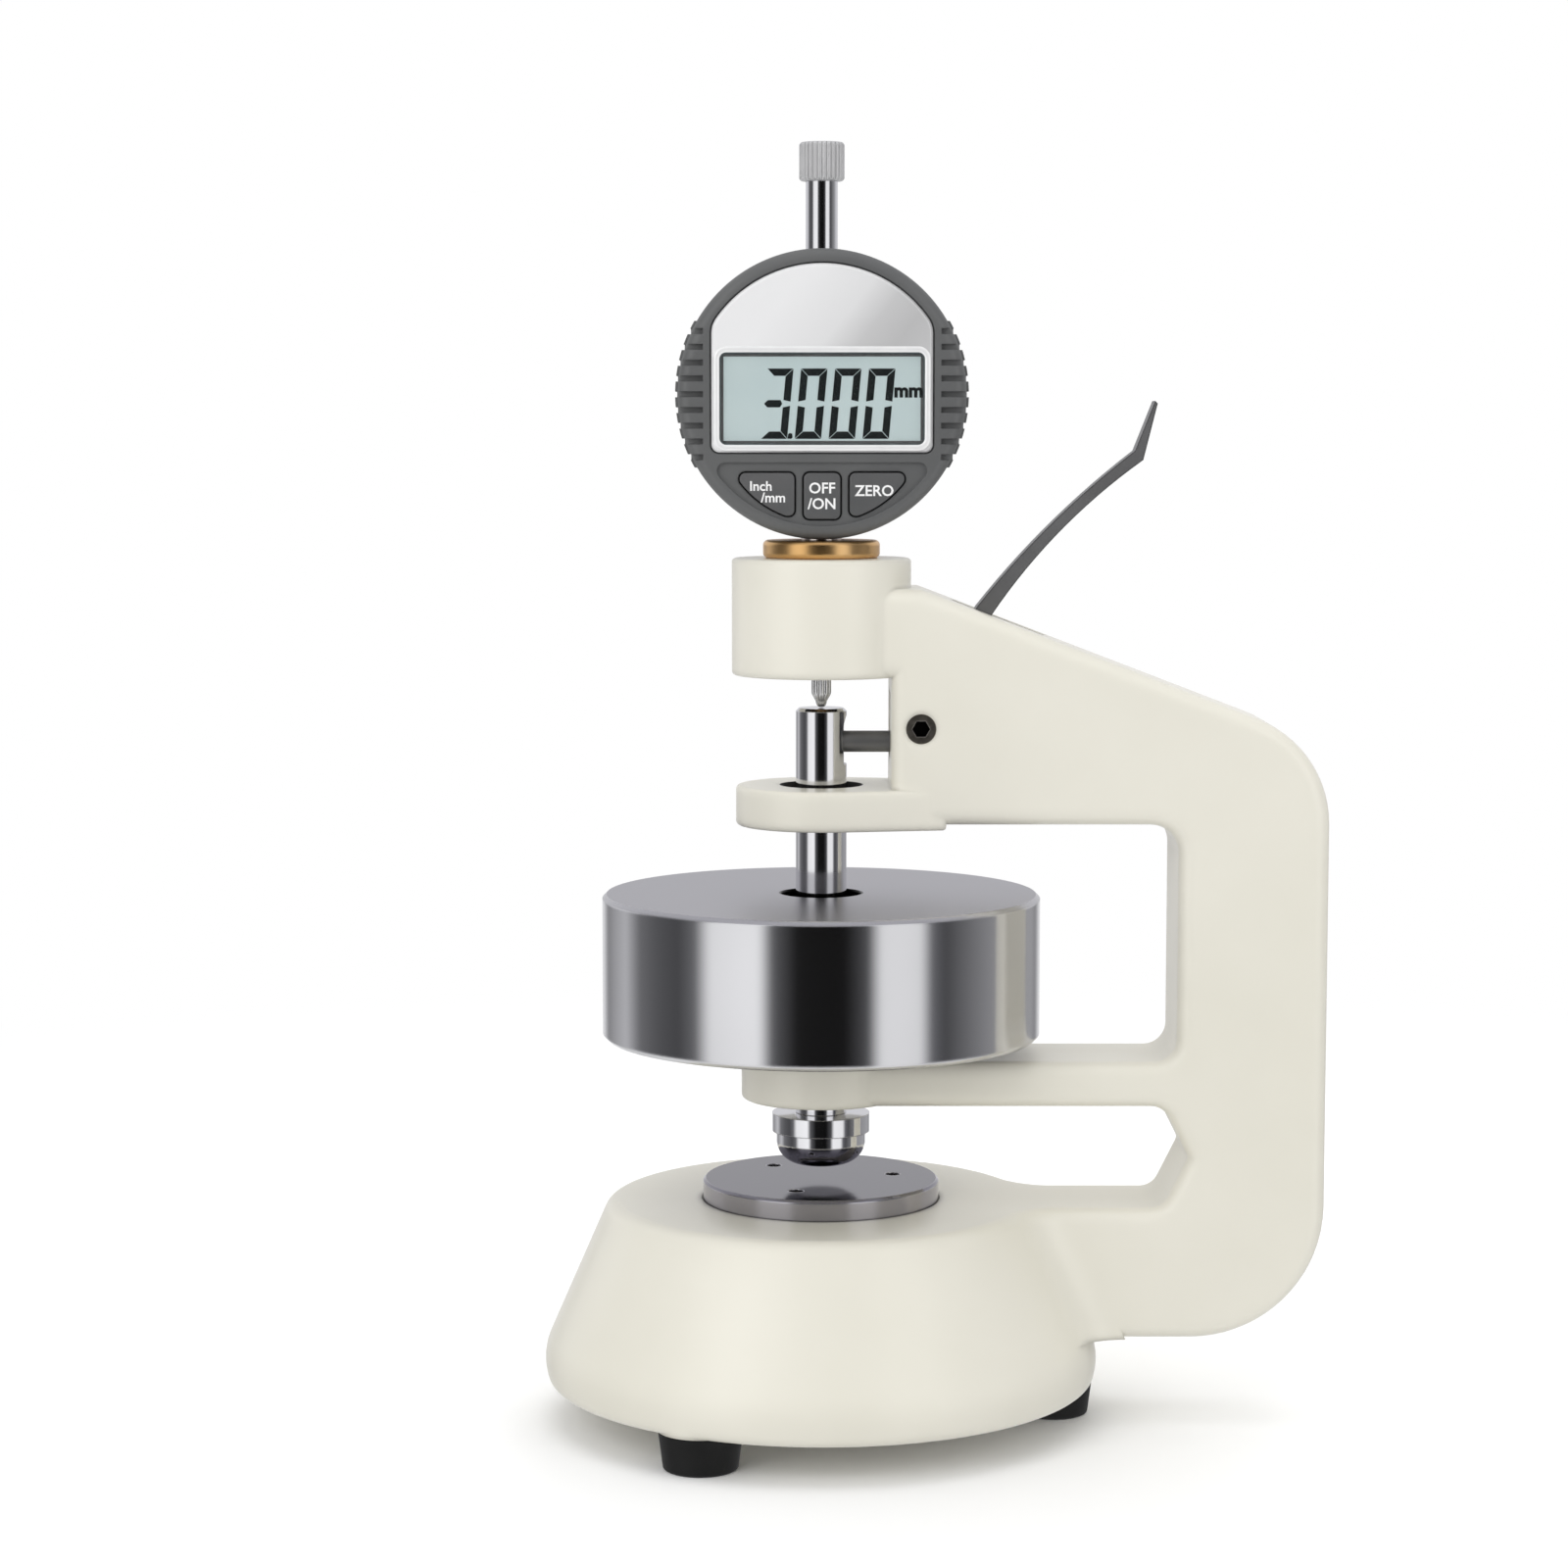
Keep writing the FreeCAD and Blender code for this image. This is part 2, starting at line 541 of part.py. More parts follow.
def add_base(name):
    """Round base with the fillet that runs into the C-frame, and a pad over each foot."""
    body = new_body(name)
    revolve("Revolution", body, "round_base", [
        ("0", "foot_height"), ("base_low_radius", "foot_height"), ("base_corner", "base_wide_height"),
        ("base_top_radius", "base_top"), ("0", "base_top"),
    ])
    low_radius = "base_corner - (frame_underside - base_wide_height) * tan(base_taper)"
    root = body.newObject("PartDesign::AdditiveLoft", "root")
    root.Profile = root_outline(body, "root_low", "frame_underside", low_radius)
    root.Sections = [root_outline(body, "root_high", "base_top", "base_top_radius")]
    root.Ruled = True
    document.recompute()
    dress("Fillet", body, "top_rounding", "base_top_round",
          lambda e: is_level(e, "base_top") and e.BoundBox.XLength > SAME)
    dress("Fillet", body, "wide_rounding", "base_wide_round",
          lambda e: is_ring(e, "base_corner", "base_wide_height"))
    dress("Fillet", body, "low_rounding", "base_low_round",
          lambda e: is_ring(e, "base_low_radius", "foot_height"))
    pads = new_sketch(body, "foot_pad_outlines", "XY_Plane", "foot_height")
    for x, y in on_circle("foot_circle", "foot_count"):
        add_circle(pads, x, y, "foot_pad_radius")
    extrude("Pad", body, "foot_pads", pads, "base_wide_height - foot_height")
    return body


def add_c_frame():
    """Column with its upper, middle and lower arms, rounded at the corners and round both faces."""
    body = new_share("c_frame")
    outline = new_sketch(body, "c_frame_outline")
    corner_top = "arm_top - shoulder_drop"
    throat_start = "throat_reach - throat_point"
    throat_middle = "(mid_arm_bottom + base_top) / 2"
    add_loop(outline, [
        ("0", "boss_bottom"), ("throat_wall", "boss_bottom"), ("throat_wall", "arm_bottom"),
        ("column_inside", "arm_bottom"), ("column_inside", "mid_arm_top"), ("0", "mid_arm_top"),
        ("0", "mid_arm_bottom"), (throat_start, "mid_arm_bottom"), ("throat_reach", throat_middle),
        (throat_start, "base_top"), ("0", "base_top"), ("0", "frame_underside"), ("frame_reach", "frame_underside"),
        ("frame_reach", corner_top), ("arm_level", "arm_top"), ("0", "arm_top"),
    ])
    extrude("Pad", body, "c_frame_plate", outline, "frame_thick", middle=True)
    corners = [
        ("throat_low_corner", "throat_round", throat_start, "base_top"),
        ("throat_high_corner", "throat_round", throat_start, "mid_arm_bottom"),
        ("throat_tip", "throat_tip_round", "throat_reach", throat_middle),
        ("nook", "nook_round", "column_inside", "mid_arm_top"),
        ("window_corner", "window_round", "column_inside", "arm_bottom"),
        ("shoulder", "shoulder_round", "frame_reach", corner_top),
        ("heel", "heel_round", "frame_reach", "frame_underside"),
    ]
    for name, radius, x, z in corners:
        dress("Fillet", body, name, radius, lambda edge: is_corner(edge, x, z))
    dress("Fillet", body, "rims", "rim_round", lambda edge: edge.BoundBox.XMax > SAME and (
        in_depth(edge, "half_thick") or in_depth(edge, "0 - half_thick")))
    return body


def add_round_end(name, radius, low, thick):
    """Round disc on the spindle axis with rounded rims."""
    body = new_share(name)
    outline = new_sketch(body, name + "_outline", "XY_Plane", low)
    add_circle(outline, "0", "0", radius)
    extrude("Pad", body, name + "_disc", outline, thick)
    dress("Fillet", body, name + "_rims", "boss_round", lambda edge: isinstance(edge.Curve, Part.Circle))
    return body


def add_boss():
    """Boss that holds the indicator."""
    return add_round_end("boss", "boss_radius", "boss_bottom", "boss_top - boss_bottom")


def add_arm_end():
    """Round end of the middle arm."""
    return add_round_end("arm_end", "mid_arm_radius", "mid_arm_bottom", "mid_arm_thick")


def add_lug():
    """Lug that guides the top of the spindle, round in front and tapered into the C-frame."""
    body = new_share("lug")
    outline = new_sketch(body, "lug_outline", "XY_Plane", "lug_bottom")
    add_loop(outline, [
        ("lug_side_reach", "lug_side"), ("0 - lug_radius", "0", "lug_radius", 1),
        ("lug_side_reach", "0 - lug_side", "lug_radius", 1),
        ("lug_root", "0 - lug_end"), ("lug_root", "lug_end"),
    ])
    extrude("Pad", body, "lug_plate", outline, "lug_thick")
    dress("Fillet", body, "lug_rims", "boss_round", lambda edge: edge.BoundBox.ZLength < SAME)
    return body


def cut_frame_bores(body):
    """Cut the bores on the spindle axis, the seats in the base and the screw holes."""
    revolve("Groove", body, "boss_bore", [
        ("0", "boss_bottom - overshoot"), ("relief_radius", "boss_bottom - overshoot"),
        ("relief_radius", "collet_bottom"), ("collet_radius + seat_gap", "collet_bottom"),
        ("collet_radius + seat_gap", "boss_top - nut_thread_deep"),
        ("nut_thread + seat_gap", "boss_top - nut_thread_deep"),
        ("nut_thread + seat_gap", "boss_top + overshoot"), ("0", "boss_top + overshoot"),
    ])
    revolve("Groove", body, "lug_bore", [
        ("0", "lug_bottom - overshoot"), ("bush_radius + seat_gap", "lug_bottom - overshoot"),
        ("bush_radius + seat_gap", "lug_top + overshoot"), ("0", "lug_top + overshoot"),
    ])
    revolve("Groove", body, "mid_arm_bore", [
        ("0", "mid_arm_bottom - overshoot"), ("presser_radius + open_gap", "mid_arm_bottom - overshoot"),
        ("presser_radius + open_gap", "presser_well"), ("bush_radius + seat_gap", "presser_well"),
        ("bush_radius + seat_gap", "mid_arm_top + overshoot"), ("0", "mid_arm_top + overshoot"),
    ])
    revolve("Groove", body, "anvil_seat", [
        ("0", "anvil_bottom"), ("anvil_radius + open_gap", "anvil_bottom"),
        ("anvil_radius + open_gap", "base_top + overshoot"), ("0", "base_top + overshoot"),
    ])
    revolve("Groove", body, "underside_bore", [
        ("0", "foot_height - overshoot"), ("base_relief_radius", "foot_height - overshoot"),
        ("base_relief_radius", "foot_height + base_relief_deep"),
        ("anvil_bolt_head + open_gap", "foot_height + base_relief_deep"),
        ("anvil_bolt_head + open_gap", "anvil_bolt_seat"),
        ("anvil_bolt_radius + seat_gap", "anvil_bolt_seat"),
        ("anvil_bolt_radius + seat_gap", "anvil_bottom + overshoot"), ("0", "anvil_bottom + overshoot"),
    ])
    holes = new_sketch(body, "foot_screw_holes", "XY_Plane", "foot_height")
    for x, y in on_circle("foot_circle", "foot_count"):
        add_circle(holes, x, y, "foot_screw_radius + seat_gap")
    extrude("Pocket", body, "foot_screw_bores", holes, "foot_screw_grip + open_gap", back=True)


def cut_lever_slot(body):
    """Cut the slot in which the lever swings and the cross bore of its pivot screw."""
    low = "(lever_angle - lever_lift)"
    high = "(lever_angle + lever_drop)"
    side = "(lever_half + 2 * open_gap)"
    far = "(lever_straight + slot_beyond)"
    slot = new_sketch(body, "lever_slot_outline")
    add_loop(slot, [
        (f"pivot_reach + {side} * sin{low}", f"pivot_height - {side} * cos{low}"),
        (f"pivot_reach + {side} * sin{low} + {far} * cos{low}",
         f"pivot_height - {side} * cos{low} + {far} * sin{low}"),
        (f"pivot_reach - {side} * sin{high} + {far} * cos{high}",
         f"pivot_height + {side} * cos{high} + {far} * sin{high}"),
        (f"pivot_reach - {side} * sin{high}", f"pivot_height + {side} * cos{high}"),
    ])
    extrude("Pocket", body, "lever_slot", slot, "2 * slot_half", middle=True)
    hub = new_sketch(body, "hub_room_outline")
    add_circle(hub, "pivot_reach", "pivot_height", "hub_room")
    extrude("Pocket", body, "hub_room_cut", hub, "2 * slot_half", middle=True)
    pin = new_sketch(body, "pivot_bore_outline", offset="half_thick")
    add_circle(pin, "pivot_reach", "pivot_height", "pivot_pin_radius + seat_gap")
    extrude("Pocket", body, "pivot_bore", pin, "frame_thick - pivot_left")
    head = new_sketch(body, "pivot_head_outline", offset="half_thick")
    add_circle(head, "pivot_reach", "pivot_height", "pivot_head_radius + seat_gap")
    extrude("Pocket", body, "pivot_head_bore", head, "pivot_head_sunk")


def add_foot(number, x, y):
    """Rubber foot that tapers to the table, with a recess for its screw."""
    return turned(f"rubber_foot_{number}", [
        ("foot_screw_radius + seat_gap", "foot_height"),
        ("foot_screw_radius + seat_gap", "foot_well_deep"),
        ("foot_well_radius", "foot_well_deep"), ("foot_well_radius", "0"),
        ("foot_low_radius - foot_edge_round", "0"),
        ("foot_low_radius", "foot_edge_round", "foot_edge_round", 1),
        ("foot_top_radius", "foot_height"),
    ], x=x, y=y)


def add_foot_screw(number, x, y):
    """Pan-head screw that holds one foot."""
    return turned(f"foot_screw_{number}", [
        ("0", "foot_well_deep - foot_screw_head_high"),
        ("foot_screw_head", "foot_well_deep - foot_screw_head_high"),
        ("foot_screw_head", "foot_well_deep"), ("foot_screw_radius", "foot_well_deep"),
        ("foot_screw_radius", "foot_height + foot_screw_grip"), ("0", "foot_height + foot_screw_grip"),
    ], x=x, y=y)


def add_feet():
    """The feet and, as one node, their screws."""
    places = list(enumerate(on_circle("foot_circle", "foot_count"), 1))
    feet = [add_foot(number, x, y) for number, (x, y) in places]
    screws = [add_foot_screw(number, x, y) for number, (x, y) in places]
    return feet + [together("foot_screws", screws)]


def add_anvil():
    """Round anvil with a chamfered rim and three tapped holes for levelling screws."""
    body = turned("anvil", [
        ("anvil_bolt_radius + seat_gap", "anvil_bottom"), ("anvil_radius - anvil_under", "anvil_bottom"),
        ("anvil_radius", "anvil_bottom + anvil_under"), ("anvil_radius", "anvil_top - anvil_chamfer"),
        ("anvil_radius - anvil_chamfer", "anvil_top"), ("0", "anvil_top"),
        ("0", "anvil_top - anvil_roof + open_gap"),
        ("anvil_bolt_radius + seat_gap", "anvil_top - anvil_roof + open_gap"),
    ])
    holes = new_sketch(body, "level_holes", "XY_Plane", "anvil_top")
    for x, y in on_circle("anvil_hole_circle", "level_count", "anvil_hole_angle"):
        add_circle(holes, x, y, "anvil_hole_radius + seat_gap")
    extrude("Pocket", body, "level_bores", holes, "anvil_top - anvil_bottom + overshoot")
    return body


def add_level_screws():
    """Levelling screws that stand on the seat of the anvil, each with a hexagon socket."""
    screws = []
    for number, (x, y) in enumerate(on_circle("anvil_hole_circle", "level_count", "anvil_hole_angle"), 1):
        top = "anvil_top - level_sunk"
        screw = turned(f"level_screw_{number}", [
            ("0", "anvil_bottom"), ("anvil_hole_radius", "anvil_bottom"), ("anvil_hole_radius", top),
            ("0", top),
        ], x=x, y=y)
        socket = new_sketch(screw, f"level_socket_{number}", "XY_Plane", top)
        add_loop(socket, hexagon("anvil_hole_radius * socket_share"))
        extrude("Pocket", screw, f"level_socket_cut_{number}", socket, "socket_deep")
        screws.append(screw)
    return together("anvil_level_screws", screws)


def add_anvil_bolt():
    """Socket-head screw that holds the anvil from under the base."""
    head_low = "anvil_bolt_seat - anvil_bolt_head_high"
    body = turned("anvil_bolt", [
        ("0", head_low), ("anvil_bolt_head", head_low), ("anvil_bolt_head", "anvil_bolt_seat"),
        ("anvil_bolt_radius", "anvil_bolt_seat"), ("anvil_bolt_radius", "anvil_top - anvil_roof"),
        ("0", "anvil_top - anvil_roof"),
    ])
    socket = new_sketch(body, "anvil_bolt_socket", "XY_Plane", head_low)
    add_loop(socket, hexagon("anvil_bolt_head * socket_share"))
    extrude("Pocket", body, "anvil_bolt_socket_cut", socket, "2 * socket_deep", back=True)
    return body


def add_bush(name, low, high):
    """Bronze bush in which the spindle slides."""
    return turned(name, [
        ("spindle_radius + running_gap", low), ("bush_radius", low), ("bush_radius", high),
        ("spindle_radius + running_gap", high),
    ])


def add_clamp_nut():
    """Brass nut with a rounded flange whose threaded skirt presses on the collet."""
    body = turned("clamp_nut", [
        ("stem_radius + open_gap", "boss_top - nut_thread_deep"),
        ("nut_thread", "boss_top - nut_thread_deep"), ("nut_thread", "boss_top"),
        ("nut_radius", "boss_top"), ("nut_radius", "nut_top"), ("stem_radius + open_gap", "nut_top"),
    ])
    dress("Fillet", body, "nut_edges", "nut_round",
          lambda e: is_ring(e, "nut_radius", "boss_top") or is_ring(e, "nut_radius", "nut_top"))
    return body


def add_collet():
    """Split collet that grips the stem of the indicator."""
    top = "boss_top - nut_thread_deep"
    body = turned("stem_collet", [
        ("stem_radius + seat_gap", "collet_bottom"), ("collet_radius", "collet_bottom"),
        ("collet_radius", top), ("stem_radius + seat_gap", top),
    ])
    slit = new_sketch(body, "collet_slit_outline", "XY_Plane", top)
    add_loop(slit, box_loop("0", "collet_radius + overshoot", "0 - collet_slit / 2", "collet_slit / 2"))
    extrude("Pocket", body, "collet_slit_cut", slit, "collet_high + overshoot")
    return body


def add_pivot_screw():
    """Socket screw across the frame on which the lever turns."""
    body = new_body("lever_pivot_screw", "pivot_height", "pivot_reach")
    outer = "open_gap - half_thick"
    under_head = "pivot_head_sunk - half_thick"
    end = "half_thick - pivot_left - open_gap"
    revolve("Revolution", body, "pivot_screw_turned", [
        ("0", outer), ("pivot_head_radius", outer), ("pivot_head_radius", under_head),
        ("pivot_pin_radius", under_head), ("pivot_pin_radius", end), ("0", end),
    ], "XY_Plane")
    socket = new_sketch(body, "pivot_socket", offset="half_thick - open_gap")
    add_loop(socket, hexagon("pivot_head_radius * socket_share"))
    extrude("Pocket", body, "pivot_socket_cut", socket, "socket_deep")
    return body


def add_spindle():
    """Load spindle: threaded end, shoulder for the weight and a cross slot for the lifting rod."""
    body = turned("load_spindle", [
        ("0", "presser_top - spigot_long"), ("spigot_radius", "presser_top - spigot_long"),
        ("spigot_radius", "presser_top"), ("spindle_radius", "presser_top"),
        ("spindle_radius", "shoulder_top - shoulder_high"),
        ("shoulder_radius", "shoulder_top - shoulder_high"), ("shoulder_radius", "shoulder_top"),
        ("spindle_radius", "shoulder_top"), ("spindle_radius", "spindle_top - spindle_chamfer"),
        ("spindle_radius - spindle_chamfer", "spindle_top"), ("0", "spindle_top"),
    ])
    width = "rod_radius + open_gap"
    inside = "(spindle_radius - pivot_reach + rod_reach)"
    middle = "pivot_height - rod_drop"
    above = f"{middle} + rod_radius / cos(lever_drop) + {inside} * tan(lever_drop)"
    below = f"{middle} - rod_radius / cos(lever_lift) - {inside} * tan(lever_lift) - open_gap"
    slot = new_sketch(body, "rod_slot_outline", "YZ_Plane", "spindle_radius + overshoot")
    add_loop(slot, [
        (f"0 - ({width})", below), (width, below), (width, above),
        ("0", f"{above} + {width}", width, 1), (f"0 - ({width})", above, width, 1),
    ])
    depth = "spindle_radius + overshoot - (pivot_reach - rod_reach) + rod_radius + open_gap"
    extrude("Pocket", body, "rod_slot", slot, depth)
    return body


def add_weight():
    """Dead weight that sits on the shoulder of the spindle, with a recess at its top."""
    return turned("weight_disc", [
        ("shoulder_radius + seat_gap", "weight_bottom"),
        ("weight_radius - weight_chamfer", "weight_bottom"),
        ("weight_radius", "weight_bottom + weight_chamfer"),
        ("weight_radius", "weight_top - weight_chamfer"),
        ("weight_radius - weight_chamfer", "weight_top"), ("weight_well", "weight_top"),
        ("weight_well", "well_floor"), ("spindle_radius + seat_gap", "well_floor"),
        ("spindle_radius + seat_gap", "shoulder_top"), ("shoulder_radius + seat_gap", "shoulder_top"),
    ])


def add_ring():
    """Ring that holds the weight down on its shoulder."""
    return turned("weight_retaining_ring", [
        ("spindle_radius + seat_gap", "well_floor"), ("ring_radius", "well_floor"),
        ("ring_radius", "well_floor + ring_high"), ("spindle_radius + seat_gap", "well_floor + ring_high"),
    ])


def add_presser():
    """Presser foot: collar, neck and a bowl that curves in to the measuring face."""
    return turned("presser_foot", [
        ("0", "presser_bottom"), ("presser_face", "presser_bottom"),
        ("presser_neck", "presser_bottom + presser_bowl_high", "presser_bowl", 1),
        ("presser_neck", "presser_top - presser_collar"),
        ("presser_radius", "presser_top - presser_collar"), ("presser_radius", "presser_top"),
        ("spigot_radius + seat_gap", "presser_top"),
        ("spigot_radius + seat_gap", "presser_top - spigot_long - open_gap"),
        ("0", "presser_top - spigot_long - open_gap"),
    ])


def add_lever():
    """Lifting lever: hub with a socket for the rod, straight shank, curved bar, knee and pointed tip."""
    body = new_body("lift_lever", "pivot_height", "pivot_reach")
    hub = new_sketch(body, "hub_outline")
    add_circle(hub, "0", "0", "hub_radius")
    extrude("Pad", body, "hub", hub, "lever_thick", middle=True)
    socket = new_sketch(body, "rod_socket_outline")
    add_loop(socket, box_loop("0 - hub_radius", "0", "0 - rod_drop - rod_radius - rod_wall", "0"))
    extrude("Pad", body, "rod_socket_block", socket, "lever_thick", middle=True)
    bar = new_sketch(body, "bar_outline")
    cos, sin = "cos(lever_angle)", "sin(lever_angle)"
    add_loop(bar, [
        (f"lever_half * {sin}", f"0 - lever_half * {cos}"),
        (f"lever_straight * {cos} + lever_half * {sin}", f"lever_straight * {sin} - lever_half * {cos}"),
        ("knee_reach", "knee_height", "lever_curve", -1),
        ("tip_reach", "tip_height - tip_blunt"), ("tip_reach - tip_blunt", "tip_height"),
        ("knee_reach - knee_back", "knee_height + knee_rise"),
        (f"lever_straight * {cos} - lever_half * {sin}", f"lever_straight * {sin} + lever_half * {cos}",
         "lever_top_curve", 1),
        (f"0 - lever_half * {sin}", f"lever_half * {cos}"),
    ])
    extrude("Pad", body, "bar", bar, "lever_thick", middle=True)
    bore = new_sketch(body, "lever_bore_outline")
    add_circle(bore, "0", "0", "pivot_pin_radius + running_gap")
    extrude("Pocket", body, "lever_bore", bore, "lever_thick + overshoot", middle=True)
    rod = new_sketch(body, "lever_rod_bore_outline", "YZ_Plane", "0 - hub_radius - overshoot")
    add_circle(rod, "0", "0 - rod_drop", "rod_radius + seat_gap")
    extrude("Pocket", body, "lever_rod_bore", rod, "hub_radius + overshoot - rod_inner", back=True)
    return body


def add_rod():
    """Lifting rod with a round end that lies in the slot of the spindle."""
    body = new_body("lift_rod", "pivot_height - rod_drop", "pivot_reach")
    outline = new_sketch(body, "lift_rod_outline")
    add_loop(outline, [
        ("0 - rod_inner", "0"), ("0 - rod_inner", "rod_radius"), ("0 - rod_reach", "rod_radius"),
        ("0 - rod_reach - rod_radius", "0", "rod_radius", 1),
    ])
    feature = body.newObject("PartDesign::Revolution", "lift_rod_turned")
    feature.Profile = outline
    feature.ReferenceAxis = (outline, ["H_Axis"])
    feature.Angle = 360
    document.recompute()
    return body


def add_stem():
    """Stem of the indicator, the tube that the collet grips."""
    top = "dial_middle - cavity_radius + stem_tail"
    return turned("indicator_stem", [
        ("plunger_radius + running_gap", "stem_bottom"), ("stem_radius", "stem_bottom"),
        ("stem_radius", top), ("plunger_radius + running_gap", top),
    ])


def add_plunger():
    """Plunger that runs through the stem and the housing up to the lifting cap."""
    step = "dial_middle + plunger_step"
    return turned("plunger_rod", [
        ("tip_thread_radius + seat_gap", "plunger_bottom"), ("plunger_radius", "plunger_bottom"),
        ("plunger_radius", step), ("plunger_top_radius", step), ("plunger_top_radius", "plunger_top"),
        ("cap_thread_radius", "plunger_top"), ("cap_thread_radius", "plunger_top + cap_thread"),
        ("0", "plunger_top + cap_thread"), ("0", "plunger_bottom + tip_thread + open_gap"),
        ("tip_thread_radius + seat_gap", "plunger_bottom + tip_thread + open_gap"),
    ])


def add_contact_point():
    """Contact point that rests on the spindle, with a small ball end."""
    low = "spindle_top + tip_gap"
    return turned("contact_point", [
        ("0", low), ("tip_ball", f"{low} + tip_ball", "tip_ball", 1),
        ("tip_radius", f"{low} + tip_cone"), ("tip_radius", "plunger_bottom"),
        ("tip_thread_radius", "plunger_bottom"), ("tip_thread_radius", "plunger_bottom + tip_thread"),
        ("0", "plunger_bottom + tip_thread"),
    ])


def add_lifting_cap():
    """Cap by which the plunger is lifted."""
    return turned("lifting_cap", [
        ("cap_thread_radius + seat_gap", "plunger_top"), ("cap_radius - cap_chamfer", "plunger_top"),
        ("cap_radius", "plunger_top + cap_chamfer"), ("cap_radius", "overall_height - cap_chamfer"),
        ("cap_radius - cap_chamfer", "overall_height"), ("0", "overall_height"),
        ("0", "plunger_top + cap_thread + open_gap"),
        ("cap_thread_radius + seat_gap", "plunger_top + cap_thread + open_gap"),
    ])


def face_corners(grow):
    """Outline of the face plate: straight sides and foot, and an arc over the top."""
    half = f"(face_half + {grow})"
    radius = f"(face_radius + {grow})"
    shoulder = f"sqrt({radius}^2 - {half}^2)"
    low = f"0 - face_low - {grow}"
    return [
        (f"0 - {half}", low), (half, low), (half, shoulder), ("0", radius, radius, 1),
        (f"0 - {half}", shoulder, radius, 1),
    ]


def round_face(body, name, grow):
    """Round the lower corners and the shoulders of the face plate or of its seat."""
    half = f"(face_half + {grow})"
    shoulder = f"sqrt((face_radius + {grow})^2 - {half}^2)"
    for part, amount, z in (
        ("_corners", "face_round", f"0 - face_low - {grow}"), ("_shoulders", "face_shoulder", shoulder),
    ):
        dress("Fillet", body, name + part, f"{amount} + {grow}",
              lambda e: is_corner(e, half, z) or is_corner(e, f"0 - {half}", z))


def window_corners(shrink):
    """Rectangle of the display window, less a ledge."""
    return box_loop(f"{shrink} - window_half", f"window_half - ({shrink})",
                    f"{shrink} - window_low", f"window_high - ({shrink})")


def outer_button(side, grow):
    """Outline of the left (-1) or right (+1) button, grown all round."""
    near_x = f"{side} * (side_button_near - {grow})"
    far_x = f"{side} * (side_button_far + {grow})"
    top = f"{grow} - button_top"
    low = f"0 - side_button_low - {grow}"
    nose_x = f"{side} * (side_button_near + button_nose + {grow} * tan(nose_turn))"
    cheek = f"0 - button_top - button_nose - {grow} * tan(cheek_turn)"
    return [(far_x, cheek), (far_x, top), (near_x, top), (near_x, low), (nose_x, low)], side


def add_button_loop(sketch, side, grow):
    """Draw the outline of one button: the two outer ones follow the rim of the dial."""
    if side == 0:
        half = f"(mid_button_half + {grow})"
        add_loop(sketch, box_loop(f"0 - {half}", half, f"0 - mid_button_low - {grow}",
                                  f"{grow} - button_top"))
        return
    corners, turn = outer_button(side, grow)
    first = corners[0]
    add_loop(sketch, [(first[0], first[1], f"button_arc + {grow}", turn)] + corners[1:])


BUTTONS = [("button_left", -1), ("button_middle", 0), ("button_right", 1)]


def add_housing():
    """Indicator housing: round shell with grip pads, seats for plate and window, and three buttons."""
    body = new_body("indicator_housing", "dial_middle")
    disc = new_sketch(body, "housing_outline", offset="0 - split")
    add_circle(disc, "0", "0", "dial_radius")
    extrude("Pad", body, "housing_disc", disc, "split + dial_front")
    dress("Fillet", body, "housing_front_round", "dial_round", lambda e: in_depth(e, "0 - dial_front"))
    add_grips(body)
    cavity = new_sketch(body, "cavity_outline", offset="0 - split")
    add_circle(cavity, "0", "0", "cavity_radius")
    extrude("Pocket", body, "cavity", cavity, "cavity_deep", back=True)
    cut_front(body)
    add_posts(body)
    revolve("Groove", body, "stem_hole", [
        ("0", "0 - dial_radius - overshoot"), ("stem_radius + seat_gap", "0 - dial_radius - overshoot"),
        ("stem_radius + seat_gap", "overshoot - cavity_radius"), ("0", "overshoot - cavity_radius"),
    ])
    revolve("Groove", body, "plunger_hole", [
        ("0", "cavity_radius - overshoot"), ("plunger_top_radius + running_gap", "cavity_radius - overshoot"),
        ("plunger_top_radius + running_gap", "dial_radius + overshoot"), ("0", "dial_radius + overshoot"),
    ])
    return body


def add_grips(body):
    """Grip pads on both sides, each crossed by level grooves of equal pitch."""
    pads = new_sketch(body, "grip_outlines", offset="0 - split")
    inner = "sqrt(dial_radius^2 - grip_half^2) - overshoot"
    outer = "sqrt(grip_radius^2 - grip_half^2)"
    for side in (-1, 1):
        low, high = f"{-side} * grip_half", f"{side} * grip_half"
        add_loop(pads, [
            (f"{side} * ({inner})", low), (f"{side} * ({outer})", low),
            (f"{side} * ({outer})", high, "grip_radius", 1), (f"{side} * ({inner})", high),
        ])
    extrude("Pad", body, "grips", pads, "split + dial_front - dial_round")
    front = new_sketch(body, "front_groove_outlines", offset="dial_front")
    sides = new_sketch(body, "side_groove_outlines", offset="dial_front")
    outer = "grip_radius + overshoot"
    for number in range(int(value("groove_count"))):
        middle = f"(({number} - (groove_count - 1) / 2) * groove_pitch)"
        low, high = f"{middle} - groove_high / 2", f"{middle} + groove_high / 2"
        for sketch, inner in (
            (front, "groove_inner"), (sides, f"(sqrt(grip_radius^2 - {middle}^2) - groove_side)"),
        ):
            add_loop(sketch, box_loop(inner, outer, low, high))
            add_loop(sketch, box_loop(f"0 - ({outer})", f"0 - {inner}", low, high))
    extrude("Pocket", body, "front_grooves", front, "groove_deep")
    extrude("Pocket", body, "side_grooves", sides, "dial_front + split + overshoot")


